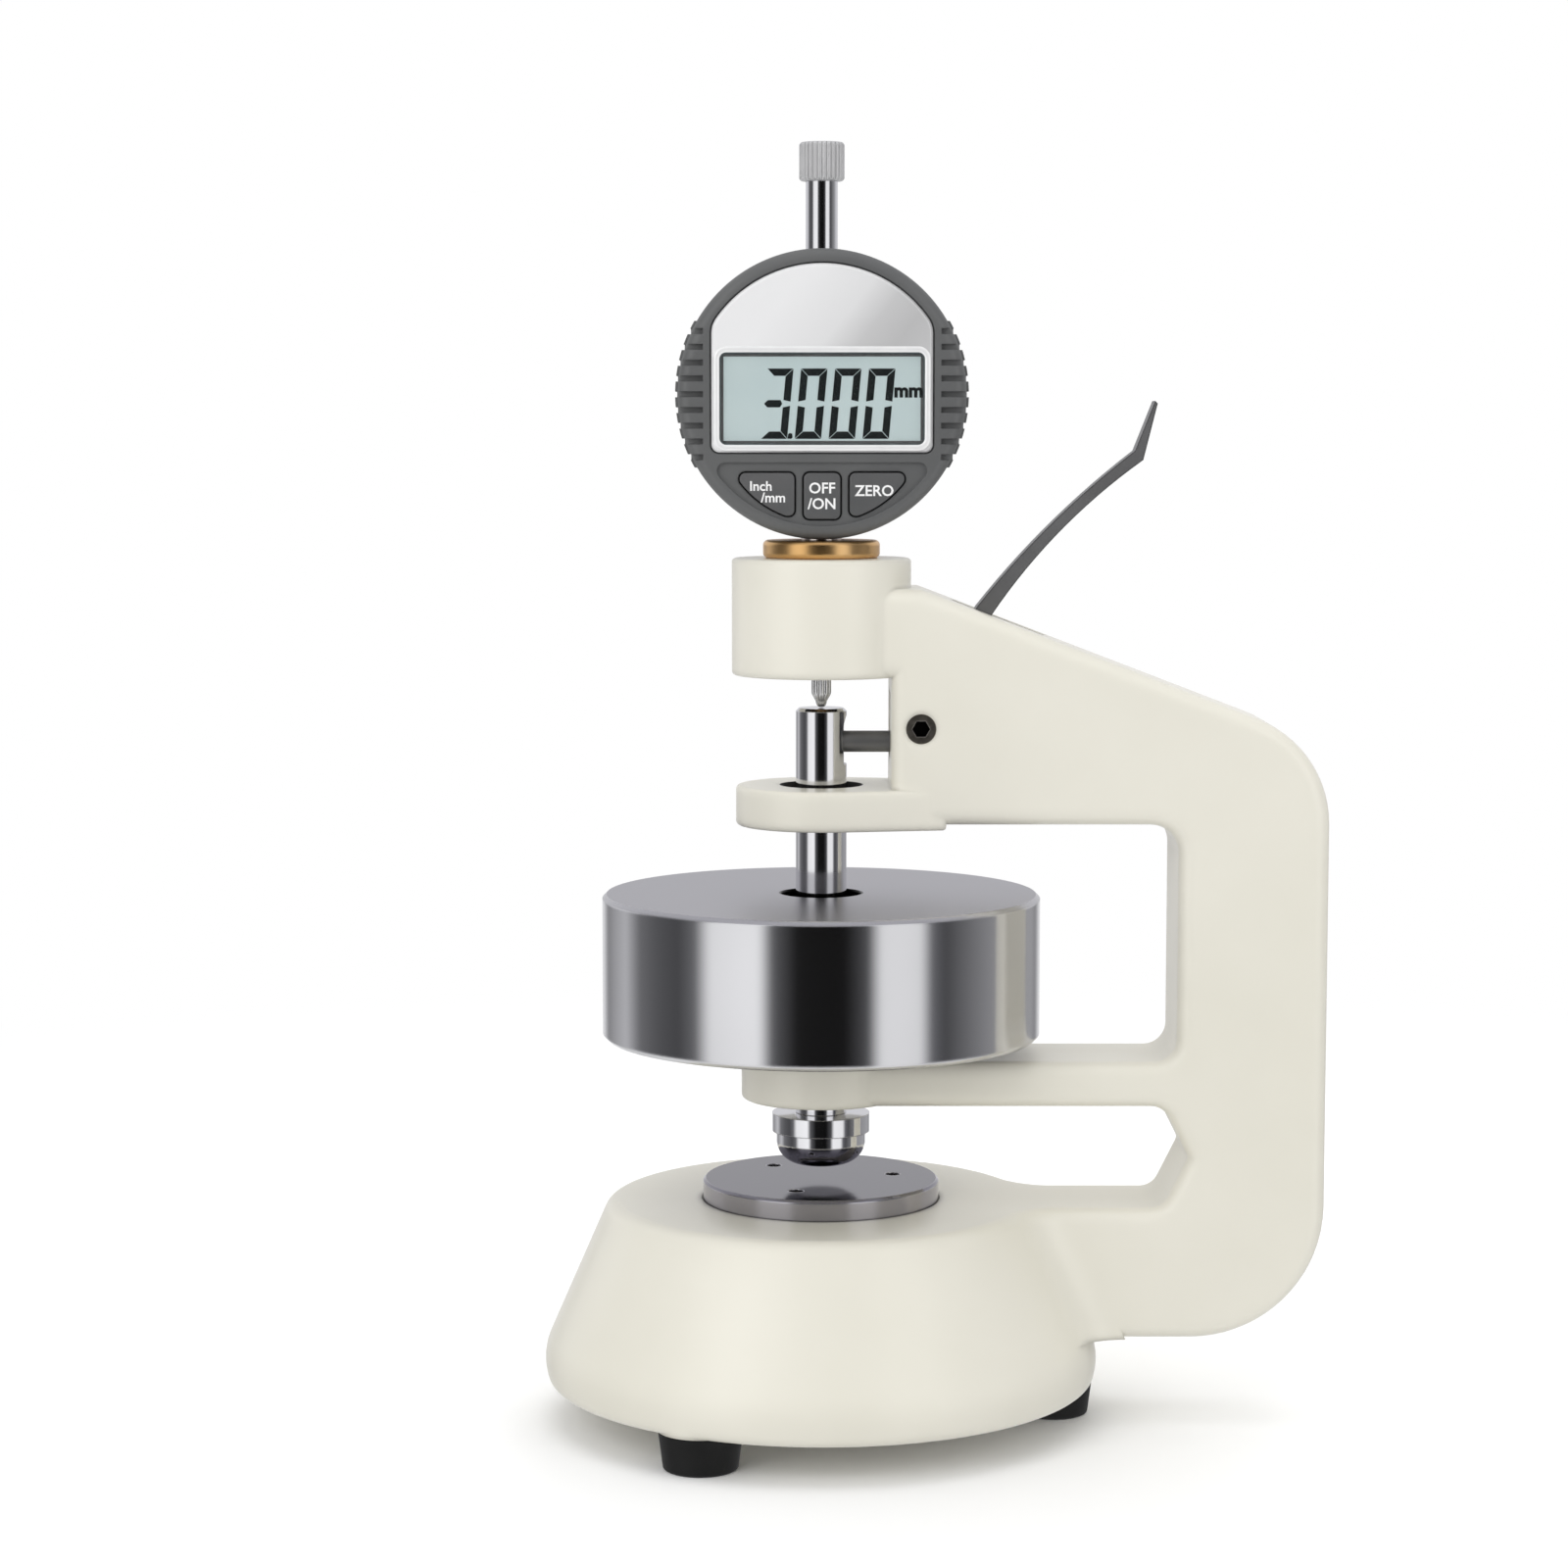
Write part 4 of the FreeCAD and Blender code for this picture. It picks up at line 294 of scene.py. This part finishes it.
lapped, tree, shader = finish("lapped_tool_steel", metallic=1.0)
rim_shade = shades(tree, mottled(tree, 0.05, 2.0), [(0.3, "#aaa8b0"), (0.7, "#b6b4bc")])
# Painted reflection: the upward face coloured dark; below it, a painted highlight along the edges.
anvil_top_painted_reflection = add(tree, "Mix", {"Factor": facing_up(tree), 6: rim_shade, 7: linear("#615f67")}, data_type="RGBA")
anvil_rim_highlight = add(tree, "Mix", {"Factor": edge_share(tree, 0.35), 6: anvil_top_painted_reflection.outputs[2], 7: linear("#f0eff4")},
                  data_type="RGBA")
tree.links.new(anvil_rim_highlight.outputs[2], shader.inputs["Base Color"])
tool_trace = add(tree, "MapRange", {"Value": mottled(tree, 0.15, 3.0), "To Min": 0.07, "To Max": 0.14})
tree.links.new(tool_trace.outputs[0], shader.inputs["Roughness"])
relief(tree, shader, turned_lines(tree, 6.0), 0.0006, edge_mm=0.3)
dress(lapped, "anvil")

oxide, tree, shader = finish("black_oxide", metallic=0.6, roughness=0.42)
tint(tree, shader, mottled(tree, 0.5, 3.0), [(0.3, "#35322d"), (0.75, "#5a5650")])
relief(tree, shader, mottled(tree, 2.0, 2.0), 0.01, edge_mm=0.35)
dress(oxide, "anvil_level_screws", "weight_retaining_ring")


# Guide bushes: sintered bearing bronze, pressed in and reamed, dark with the oil that it holds.
bronze, tree, shader = finish("oiled_bronze", metallic=0.9, roughness=0.45)
tint(tree, shader, mottled(tree, 1.5, 2.0), [(0.3, "#2c2118"), (0.7, "#4a3725")])
dress(bronze, "upper_guide_bush", "lower_guide_bush")


# Load spindle and presser foot: hardened shaft, centreless ground and hard chromed, which mirrors the tent as sharp
# upright bands. The plunger and the indicator's stem have the same finish. The slot milled through the spindle has
# none, and is coloured near black as painted shade inside it.
chrome, tree, shader = finish("hard_chrome", metallic=1.0, roughness=0.07)
tint(tree, shader, mottled(tree, 0.05, 2.0), [(0.3, "#dddde0"), (0.7, "#e4e4e7")])
relief(tree, shader, turned_lines(tree, 5.0), 0.0003, edge_mm=0.3)
dress(chrome, "presser_foot", "plunger_rod", "indicator_stem")

spindle_chrome, tree, shader = finish("hard_chrome_over_slot", metallic=1.0, roughness=0.07)
shade = shades(tree, mottled(tree, 0.05, 2.0), [(0.3, "#dddde0"), (0.7, "#e4e4e7")])
upright_place = add(tree, "SeparateXYZ", {"Vector": add(tree, "TexCoord").outputs["Object"]}).outputs["Z"]
end_skin, side_radius = 0.0006, 0.00485
below_top = add(tree, "Math", {0: upright_place, 1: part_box("load_spindle")[1].z - end_skin}, operation="LESS_THAN")
within = add(tree, "Math", {0: from_axis(tree), 1: side_radius}, operation="LESS_THAN")
milled = add(tree, "Math", {0: below_top.outputs[0], 1: within.outputs[0]}, operation="MULTIPLY")
# Painted shade: the slot's walls are coloured near black.
slot_painted_shade = add(tree, "Mix", {"Factor": milled.outputs[0], 6: shade, 7: linear("#2b2826")}, data_type="RGBA")
tree.links.new(slot_painted_shade.outputs[2], shader.inputs["Base Color"])
relief(tree, shader, turned_lines(tree, 5.0), 0.0003, edge_mm=0.3)
dress(spindle_chrome, "load_spindle")


# Weight: a disc turned from mild steel and left bare under oil. Its rim is polished, its top is only faced, so that it
# is duller, with fine rings round the spindle. Its top is also coloured darker as painted shade, its edges carry a
# painted highlight, and the recess round the spindle is coloured near black as painted shade.
steel, tree, shader = finish("turned_mild_steel", metallic=1.0)
bright = shades(tree, mottled(tree, 0.02, 3.0), [(0.3, "#cfcfd2"), (0.7, "#d8d8db")])
# The upward face is darker: partly the faced finish, partly painted shade.
faced_top_and_shade = add(tree, "Mix", {"Factor": facing_up(tree), 6: bright, 7: linear("#b6b5ba")}, data_type="RGBA")
# Painted highlight along the rims.
weight_rim_highlight = add(tree, "Mix", {"Factor": edge_share(tree, 0.5), 6: faced_top_and_shade.outputs[2], 7: linear("#f2f2f4")},
                 data_type="RGBA")
# Painted shade: the recess round the spindle is coloured near black.
shaded_recess_mm = 8.3
bare_inside(tree, shaded_recess_mm, weight_rim_highlight.outputs[2], linear("#1a1918"), shader.inputs["Base Color"])
faced = add(tree, "MapRange", {"Value": facing_up(tree), "To Min": 0.13, "To Max": 0.34})
tree.links.new(faced.outputs[0], shader.inputs["Roughness"])
rings = add(tree, "TexWave", {"Vector": add(tree, "VectorMath", {0: add(tree, "TexCoord").outputs["Object"],
                                                                 1: (-axis_x, 0, 0)}).outputs[0],
                              "Scale": 3.0 * 1000 / (2 * math.pi), "Distortion": 0.6, "Detail": 2.0},
            wave_type="RINGS", rings_direction="Z").outputs["Fac"]
relief(tree, shader, rings, 0.0012, edge_mm=0.8)
dress(steel, "weight_disc")


# Lever, lifting rod and the screw that they turn on: the lever is cut from plate and the rod from bar, and both are
# plated a satin dark grey, with their edges coloured darker as painted shade. The socket cap screw has a black oxide
# finish, with a painted highlight on its edges and its socket coloured near black as painted shade.
plated, tree, shader = finish("dark_plated_steel", metallic=0.45, roughness=0.4)
shade = shades(tree, mottled(tree, 0.08, 3.0), [(0.3, "#6c6c6d"), (0.7, "#7b7b7c")])
# Painted shade: edges coloured darker than the faces.
lever_edge_shade = add(tree, "Mix", {"Factor": edge_share(tree, 0.9), 6: shade, 7: linear("#4c4c4d")}, data_type="RGBA")
tree.links.new(lever_edge_shade.outputs[2], shader.inputs["Base Color"])
relief(tree, shader, mottled(tree, 1.5, 2.0, (1, 6, 1)), 0.001, edge_mm=0.6)
dress(plated, "lift_lever", "lift_rod")

screw_black, tree, shader = finish("black_oxide_with_edge_highlight", metallic=0.9, roughness=0.36)
shade = shades(tree, mottled(tree, 0.8, 3.0), [(0.3, "#6b665f"), (0.75, "#8a857d")])
# Painted highlight: the screw's edges are coloured pale.
screw_edge_highlight = add(tree, "Mix", {"Factor": edge_share(tree, 0.3), 6: shade, 7: linear("#b5b1aa")}, data_type="RGBA")
screw_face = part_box("lever_pivot_screw")[0].y
deep = add(tree, "SeparateXYZ", {"Vector": add(tree, "TexCoord").outputs["Object"]}).outputs["Y"]
socket_starts, socket_dark = screw_face + 0.0002, screw_face + 0.0006
# Painted shade: the hex socket is coloured near black below the screw's face.
socket = add(tree, "MapRange", {"Value": deep, "From Min": socket_starts, "From Max": socket_dark})
socket_painted_shade = add(tree, "Mix", {"Factor": socket.outputs[0], 6: screw_edge_highlight.outputs[2], 7: linear("#0e0c0a")},
                   data_type="RGBA")
tree.links.new(socket_painted_shade.outputs[2], shader.inputs["Base Color"])
relief(tree, shader, mottled(tree, 2.0, 2.0), 0.005, edge_mm=0.3)
dress(screw_black, "lever_pivot_screw")


# Clamp nut, collet and measuring slider: turned brass, buffed and lacquered. It mirrors the tent in soft warm bands.
brass, tree, shader = finish("polished_brass", metallic=1.0, roughness=0.29)
tint(tree, shader, mottled(tree, 0.1, 2.0), [(0.3, "#e8b878"), (0.7, "#f0c58b")])
relief(tree, shader, turned_lines(tree, 5.0), 0.001, edge_mm=0.3)
dress(brass, "clamp_nut", "stem_collet", "plunger_slider")


# Contact point: a hardened steel insert screwed into the plunger, fluted so that fingers can turn it, with a ball end
# that rests on the spindle.
def add_piece(name, points, faces, material, body):
    """Make points and faces a piece of one material that rides on a body."""
    mesh = bpy.data.meshes.new(name)
    mesh.from_pydata(points.tolist(), [], faces)
    mesh.materials.append(material)
    piece = bpy.data.objects.new(name, mesh)
    bpy.context.scene.collection.objects.link(piece)
    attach(piece, body)
    return piece


def surface(name, rings, material, body, stand_for):
    """Make a closed piece from rings of points, each a row, with a pole in the first and last ring, for a CAD node."""
    count, around = rings.shape[:2]
    poles = np.array([rings[0].mean(axis=0), rings[-1].mean(axis=0)])
    points = np.concatenate([rings.reshape(-1, 3), poles])
    low, turn_by = np.meshgrid(np.arange(count - 1), np.arange(around), indexing="ij")
    after = (turn_by + 1) % around
    quads = np.stack([low * around + turn_by, low * around + after, (low + 1) * around + after,
                      (low + 1) * around + turn_by], axis=-1).reshape(-1, 4)
    step = np.arange(around)
    follow = (step + 1) % around
    last = (count - 1) * around
    caps = [(step, follow, count * around, True), (last + step, last + follow, count * around + 1, False)]
    faces = [tuple(quad) for quad in quads.tolist()]
    for first, second, pole, flip in caps:
        pair = (second, first) if flip else (first, second)
        faces += np.stack([*pair, np.full(around, pole)], axis=-1).tolist()
    piece = add_piece(name, points, faces, material, body)
    piece.data.shade_smooth()
    piece.data.set_sharp_from_angle(angle=math.radians(30))
    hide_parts(stand_for)
    return piece


def fluted(low, profile, flutes, deep, steps):
    """Rings of a fluted turned shape: radius r(z) less deep times g(z) times a rounded comb of the angle.

    The profile's rows are height above low, radius, and the share g of the flutes' depth, in millimetres.
    """
    angle = np.linspace(0, 2 * np.pi, steps, endpoint=False)
    comb = np.abs(np.sin(angle * flutes / 2)) ** 0.6
    height, radius, share = np.array(profile).T[:, :, None]
    wide = (radius - deep * share * (1 - comb)) / 1000
    return np.stack([axis_x + wide * np.cos(angle), wide * np.sin(angle),
                     low + height / 1000 + 0 * wide], axis=-1)


satin, tree, shader = finish("satin_chrome", metallic=0.85, roughness=0.26)
tint(tree, shader, mottled(tree, 0.1, 2.0), [(0.3, "#dadadb"), (0.7, "#e6e6e7")])
dress(satin, "coin_cell")
point_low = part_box("contact_point")[0].z
surface("contact_point_fluted", fluted(point_low, [
    (0.0, 0.35, 0), (0.1, 0.6, 0), (0.35, 0.85, 0), (0.7, 1.03, 0), (1.1, 1.1, 0), (1.3, 1.17, 0),
    (2.5, 1.88, 0.2), (2.9, 2.0, 1), (6.3, 2.0, 1), (6.55, 1.95, 0.6), (6.69, 1.8, 0)],
    10, 0.42, 160), satin, "plunger", "contact_point")


# Plunger spring: music wire coiled to nine turns, which pushes the plunger down from the roof of the housing. Its top
# end stays on the roof. On the real gauge it shortens as the plunger rises; here it rides with the frame at one length.
def coil(low, high, middle_mm, wire_mm, turns):
    """Rings of a coiled wire: round its line, cosine along the radius and sine along the tangent crossed with it.

    The line is a helix, the coil's radius times cosine and sine of the turn, rising evenly from low to high.
    """
    steps_a_turn, steps_round_wire = 40, 12
    turn = np.linspace(0, 2 * np.pi * turns, turns * steps_a_turn + 1)[:, None]
    round_wire = np.linspace(0, 2 * np.pi, steps_round_wire, endpoint=False)
    rise = (high - low - wire_mm / 500) / (2 * np.pi * turns)
    nought = np.zeros_like(turn)
    outward = np.stack([np.cos(turn), np.sin(turn), nought], axis=-1)
    onward = np.stack([-np.sin(turn) * middle_mm / 1000, np.cos(turn) * middle_mm / 1000, nought + rise], axis=-1)
    onward = onward / np.linalg.norm(onward, axis=-1, keepdims=True)
    aside = np.cross(onward, outward)
    line = outward * middle_mm / 1000 + np.stack([nought + axis_x, nought, low + wire_mm / 1000 + rise * turn], -1)
    return line + wire_mm / 1000 * (outward * np.cos(round_wire)[:, None] + aside * np.sin(round_wire)[:, None])


spring_low, spring_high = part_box("plunger_spring")
spring_radius_mm, wire_radius_mm, spring_turns = 3.85, 0.45, 9
spring = surface("plunger_spring_coil", coil(spring_low.z, spring_high.z, spring_radius_mm, wire_radius_mm,
                                             spring_turns), satin, "frame", "plunger_spring")
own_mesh(spring)


# Lifting cap: turned aluminium with a straight knurl round it and a chamfer at each end, screwed on the plunger. The
# knurl softens what it mirrors to a pale grey.
aluminium, tree, shader = finish("satin_aluminium", metallic=0.5, roughness=0.42)
tint(tree, shader, mottled(tree, 0.2, 2.0), [(0.3, "#cacacb"), (0.7, "#d4d4d5")])
cap_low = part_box("lifting_cap")[0].z
surface("lifting_cap_knurled", fluted(cap_low, [
    (0.0, 3.1, 0), (0.01, 3.9, 0), (0.12, 4.1, 0), (0.5, 4.4, 1), (0.9, 4.4, 1), (6.5, 4.4, 1), (6.9, 4.4, 1),
    (7.28, 4.12, 0), (7.39, 3.95, 0), (7.4, 3.1, 0), (7.4, 1.2, 0)], 28, 0.36, 448),
    aluminium, "plunger", "lifting_cap")


# Housing, back cover and battery lid: grey ABS moulded with a fine spark grain, which gives a soft even sheen. The
# keys are moulded from the same resin, a little darker.
abs_grey, tree, shader = finish("moulded_abs", roughness=0.42)
tint(tree, shader, mottled(tree, 0.05, 3.0), [(0.3, "#5a5b5c"), (0.7, "#636464")])
relief(tree, shader, mottled(tree, 3.0, 2.0), 0.01, edge_mm=0.5)
dress(abs_grey, "indicator_housing", "indicator_back_cover", "battery_lid")

abs_keys, tree, shader = finish("moulded_keys", roughness=0.38)
tint(tree, shader, mottled(tree, 0.08, 3.0), [(0.3, "#555657"), (0.7, "#5e5e5f")])
relief(tree, shader, mottled(tree, 3.0, 2.0), 0.008, edge_mm=0.6)
dress(abs_keys, "button_left", "button_middle", "button_right")


# Key legends: the plain function of each key, printed in white on its face, so each rides with its key.
def lettering(name, lines, size_mm, bold, middle, front, material, body):
    """Make short words a thin mesh on an upright face, each line (text, right and up of the middle) in millimetres.

    The letters' strokes grow by the bold share of their size.
    """
    parts = []
    for text, right, up in lines:
        curve = bpy.data.curves.new(name, "FONT")
        curve.body = text
        curve.size = size_mm / 1000
        curve.align_x = "CENTER"
        curve.align_y = "CENTER"
        curve.extrude = 0.00002
        curve.offset = size_mm / 1000 * bold
        curve.resolution_u = 3
        holder = bpy.data.objects.new(name, curve)
        mesh = bpy.data.meshes.new_from_object(holder)
        joined = bmesh.new()
        joined.from_mesh(mesh)
        bmesh.ops.remove_doubles(joined, verts=joined.verts, dist=1e-7)
        bmesh.ops.recalc_face_normals(joined, faces=joined.faces)
        joined.to_mesh(mesh)
        joined.free()
        flat = np.empty(len(mesh.vertices) * 3)
        mesh.vertices.foreach_get("co", flat)
        flat = flat.reshape(-1, 3)
        placed = np.stack([middle[0] + right / 1000 + flat[:, 0], front - flat[:, 2],
                           middle[1] + up / 1000 + flat[:, 1]], axis=-1)
        parts.append((placed, [list(face.vertices) for face in mesh.polygons]))
        bpy.data.objects.remove(holder)
        bpy.data.curves.remove(curve)
        bpy.data.meshes.remove(mesh)
    starts = np.cumsum([0] + [len(points) for points, _ in parts])
    faces = [[index + int(start) for index in face] for start, (_, some) in zip(starts, parts) for face in some]
    add_piece(name, np.concatenate([points for points, _ in parts]), faces, material, body)


ink, tree, shader = finish("pad_printed_ink", roughness=0.5)
tint(tree, shader, mottled(tree, 1.0, 2.0), [(0.3, "#e9e9e9"), (0.7, "#f6f6f6")])
ink_lift = 0.00001
for key, lines, size in (
    ("left", [("Inch", -1.2, 1.5), ("/mm", 1.2, -0.7)], 2.6),
    ("middle", [("OFF", 0, 1.4), ("/ON", 0, -1.6)], 2.9),
    ("right", [("ZERO", -0.5, 0.6)], 2.9),
):
    low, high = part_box("button_" + key)
    lettering("legend_" + key, lines, size, 0.018, ((low.x + high.x) / 2, (low.z + high.z) / 2), low.y - ink_lift, ink,
              "button_" + key)


# Face plate: satin silver plate with a bevelled edge and a polished bead pressed up round the window. Its colour is
# graded from near white at the upper left to grey at the lower right, a painted sheen in place of the sheen of the real
# plate, and its bevelled edge carries a painted highlight.
silver, tree, shader = finish("satin_silver", metallic=0.12, roughness=0.36)
plate_low, plate_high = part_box("face_plate")
plate_middle = (plate_low + plate_high) / 2
across = add(tree, "VectorMath", {0: add(tree, "TexCoord").outputs["Object"], 1: plate_middle},
             operation="SUBTRACT")
fade = add(tree, "VectorMath", {0: across.outputs[0], 1: (25, 0, -20)}, operation="DOT_PRODUCT")
faded = add(tree, "Math", {0: fade.outputs["Value"], 1: 0.5}, operation="ADD")
painted_sheen = shades(tree, faded.outputs[0], [(0.1, "#f0f0f1"), (0.45, "#e4e4e5"), (0.62, "#cacacb"), (0.8, "#bebebf"),
                                       (1.0, "#c6c6c7")])
# Painted highlight along the plate's edges.
plate_edge_highlight = add(tree, "Mix", {"Factor": edge_share(tree, 0.5), 6: painted_sheen, 7: linear("#fbfbfc")}, data_type="RGBA")
tree.links.new(plate_edge_highlight.outputs[2], shader.inputs["Base Color"])
relief(tree, shader, mottled(tree, 0.6, 2.0, (1, 1, 20)), 0.002, edge_mm=0.5)
dress(silver, "face_plate")

bead_metal, tree, shader = finish("polished_silver", metallic=0.2, roughness=0.2)
tint(tree, shader, mottled(tree, 0.3, 2.0), [(0.3, "#f0f0f1"), (0.7, "#f6f6f6")])


def frame_bead(name, low, high, grow_mm, front, corner_mm, across_mm, rise_mm, material, body):
    """Bead round a rectangle: a flat arch, rise times 1 less u squared over the width u, carried round the path.

    The path is the rectangle with its corners rounded: the corner of the signs of cos and sin, pulled in by the
    radius, plus the radius along the direction of the angle.
    """
    around, over_arch = 192, 13
    angle = np.linspace(0, 2 * np.pi, around, endpoint=False) + np.pi / around
    way = np.stack([np.cos(angle), np.sin(angle)], axis=-1)
    middle = np.array([(low.x + high.x) / 2, (low.z + high.z) / 2])
    half = np.array([(high.x - low.x) / 2, (high.z - low.z) / 2]) + (grow_mm - corner_mm) / 1000
    corner = middle + np.sign(way) * half
    across = np.linspace(-1, 1, over_arch)
    arch = np.concatenate([1 - across ** 2, [0.0]])
    reach = np.concatenate([across, [0.0]]) * across_mm / 2000 + corner_mm / 1000
    plane = corner[:, None] + way[:, None] * reach[None, :, None]
    ahead = np.broadcast_to(front - arch * rise_mm / 1000, plane.shape[:2])
    points = np.stack([plane[..., 0], ahead, plane[..., 1]], axis=-1)
    count, width = points.shape[:2]
    step, side = np.meshgrid(np.arange(count), np.arange(width), indexing="ij")
    onward, over = (step + 1) % count, (side + 1) % width
    quads = np.stack([step * width + side, step * width + over, onward * width + over, onward * width + side], -1)
    piece = add_piece(name, points.reshape(-1, 3), quads.reshape(-1, 4).tolist(), material, body)
    piece.data.shade_smooth()


window_low, window_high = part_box("lcd_window")
plate_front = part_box("face_plate")[0].y
seal, tree, shader = finish("grey_sealing_rubber", roughness=0.6)
tint(tree, shader, mottled(tree, 1.0, 2.0), [(0.3, "#4a5152"), (0.7, "#566062")])
frame_bead("window_bead", window_low, window_high, 0.55, plate_front + 0.00002, 1.9, 1.2, 0.22, bead_metal,
           "frame")
frame_bead("window_gasket", window_low, window_high, -0.14, window_low.y + 0.00002, 1.2, 0.32, 0.1, seal,
           "frame")


# Display: a liquid crystal glass behind a clear acrylic window. Dark slanted bars of seven to a figure show the
# reading, with a point and the unit beside it.
crystal, tree, shader = finish("liquid_crystal", roughness=0.3)
tint(tree, shader, mottled(tree, 0.05, 2.0), [(0.3, "#c9dadb"), (0.7, "#d2e1e1")])
dress(crystal, "lcd_panel")

dark_bars, tree, shader = finish("dark_crystal", roughness=0.4)
tint(tree, shader, mottled(tree, 1.0, 2.0), [(0.3, "#0a0c0d"), (0.7, "#15181a")])
screen_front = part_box("lcd_panel")[0].y
bar, gap, figure_wide, figure_high, figure_step, lean = 1.4, 0.07, 5.05, 13.4, 6.5, 0.092
middle_high, notch = figure_high / 2, 0.4
top_bar = [(bar + gap, figure_high - bar), (figure_wide / 2, figure_high - bar),
           (figure_wide - bar - gap, figure_high - bar), (figure_wide - gap, figure_high),
           (figure_wide / 2, figure_high), (gap, figure_high)]
left_bar = [(0, middle_high + notch), (bar, middle_high + notch + 0.3), (bar, middle_high + 3),
            (bar, figure_high - bar - gap), (0, figure_high - gap), (0, middle_high + 3)]
middle_bar = [(0, middle_high), (bar / 2, middle_high - bar / 2), (3.1, middle_high - bar / 2),
              (3.5, middle_high), (3.1, middle_high + bar / 2), (bar / 2, middle_high + bar / 2)]


def turned_over(outline, sideways, upwards):
    """Mirror a bar's outline in its figure's box, and keep its corners in the same turning order."""
    turned = [((figure_wide - right if sideways else right), (figure_high - up if upwards else up))
              for right, up in outline]
    return turned[::-1] if sideways != upwards else turned


bars = {"top": top_bar, "middle": middle_bar, "bottom": turned_over(top_bar, False, True), "left_high": left_bar,
        "left_low": turned_over(left_bar, False, True), "right_high": turned_over(left_bar, True, False),
        "right_low": turned_over(left_bar, True, True)}
figures = {"3": ["top", "middle", "bottom", "right_low", "right_high"],
           "0": ["top", "bottom", "left_low", "left_high", "right_low", "right_high"]}
outlines = np.array([np.add(bars[name], (place * figure_step, 0)) for place, figure in enumerate("3000")
                     for name in figures[figure]])
point_spot = [(5.1, 0.05), (5.8, 0.0), (6.05, 0.25), (5.95, 1.0), (5.45, 1.1), (5.15, 0.9)]
outlines = np.concatenate([outlines, [point_spot]])


def plates(name, outlines, back, front, material, body):
    """Thin plates of equal corner count, each given by its outline of right and up in metres, as one piece."""
    many, corners = outlines.shape[:2]
    both = np.stack([np.full((many, corners), back), np.full((many, corners), front)], axis=1)
    points = np.stack([np.broadcast_to(outlines[:, None, :, 0], both.shape), both,
                       np.broadcast_to(outlines[:, None, :, 1], both.shape)], axis=-1)
    start = np.arange(many)[:, None] * corners * 2
    ring = np.arange(corners)
    follow = (ring + 1) % corners
    sides = np.stack([start + ring, start + follow, start + corners + follow, start + corners + ring], axis=-1)
    faces = (start + corners + ring).tolist() + (start + ring[::-1]).tolist() + sides.reshape(-1, 4).tolist()
    add_piece(name, points.reshape(-1, 3), faces, material, body)


reading_left, reading_low = axis_x * 1000 - 11.75, 193.1
unit_middle = (axis_x + 0.01655, 0.2022)
outlines = np.stack([reading_left + outlines[..., 0] + lean * outlines[..., 1], reading_low + outlines[..., 1]],
                    axis=-1) / 1000
plates("reading_bars", outlines, screen_front - 0.000003, screen_front - 0.000013, dark_bars, "frame")
lettering("reading_unit", [("mm", 0, 0)], 3.6, 0.045, unit_middle, screen_front - 0.000008, dark_bars,
          "frame")

acrylic, tree, shader = finish("clear_acrylic", roughness=0.04, alpha=0.06, ior=1.49)
tint(tree, shader, mottled(tree, 0.05, 2.0), [(0.3, "#3c4646"), (0.7, "#465050")])
dress(acrylic, "lcd_window")


# Circuit board: glass fibre laminate under green solder mask, inside the housing.
board, tree, shader = finish("solder_mask", roughness=0.35)
tint(tree, shader, mottled(tree, 0.2, 2.0), [(0.3, "#1d5a34"), (0.7, "#256b3f")])
dress(board, "circuit_board")


bpy.context.scene.view_settings.view_transform = "Standard"
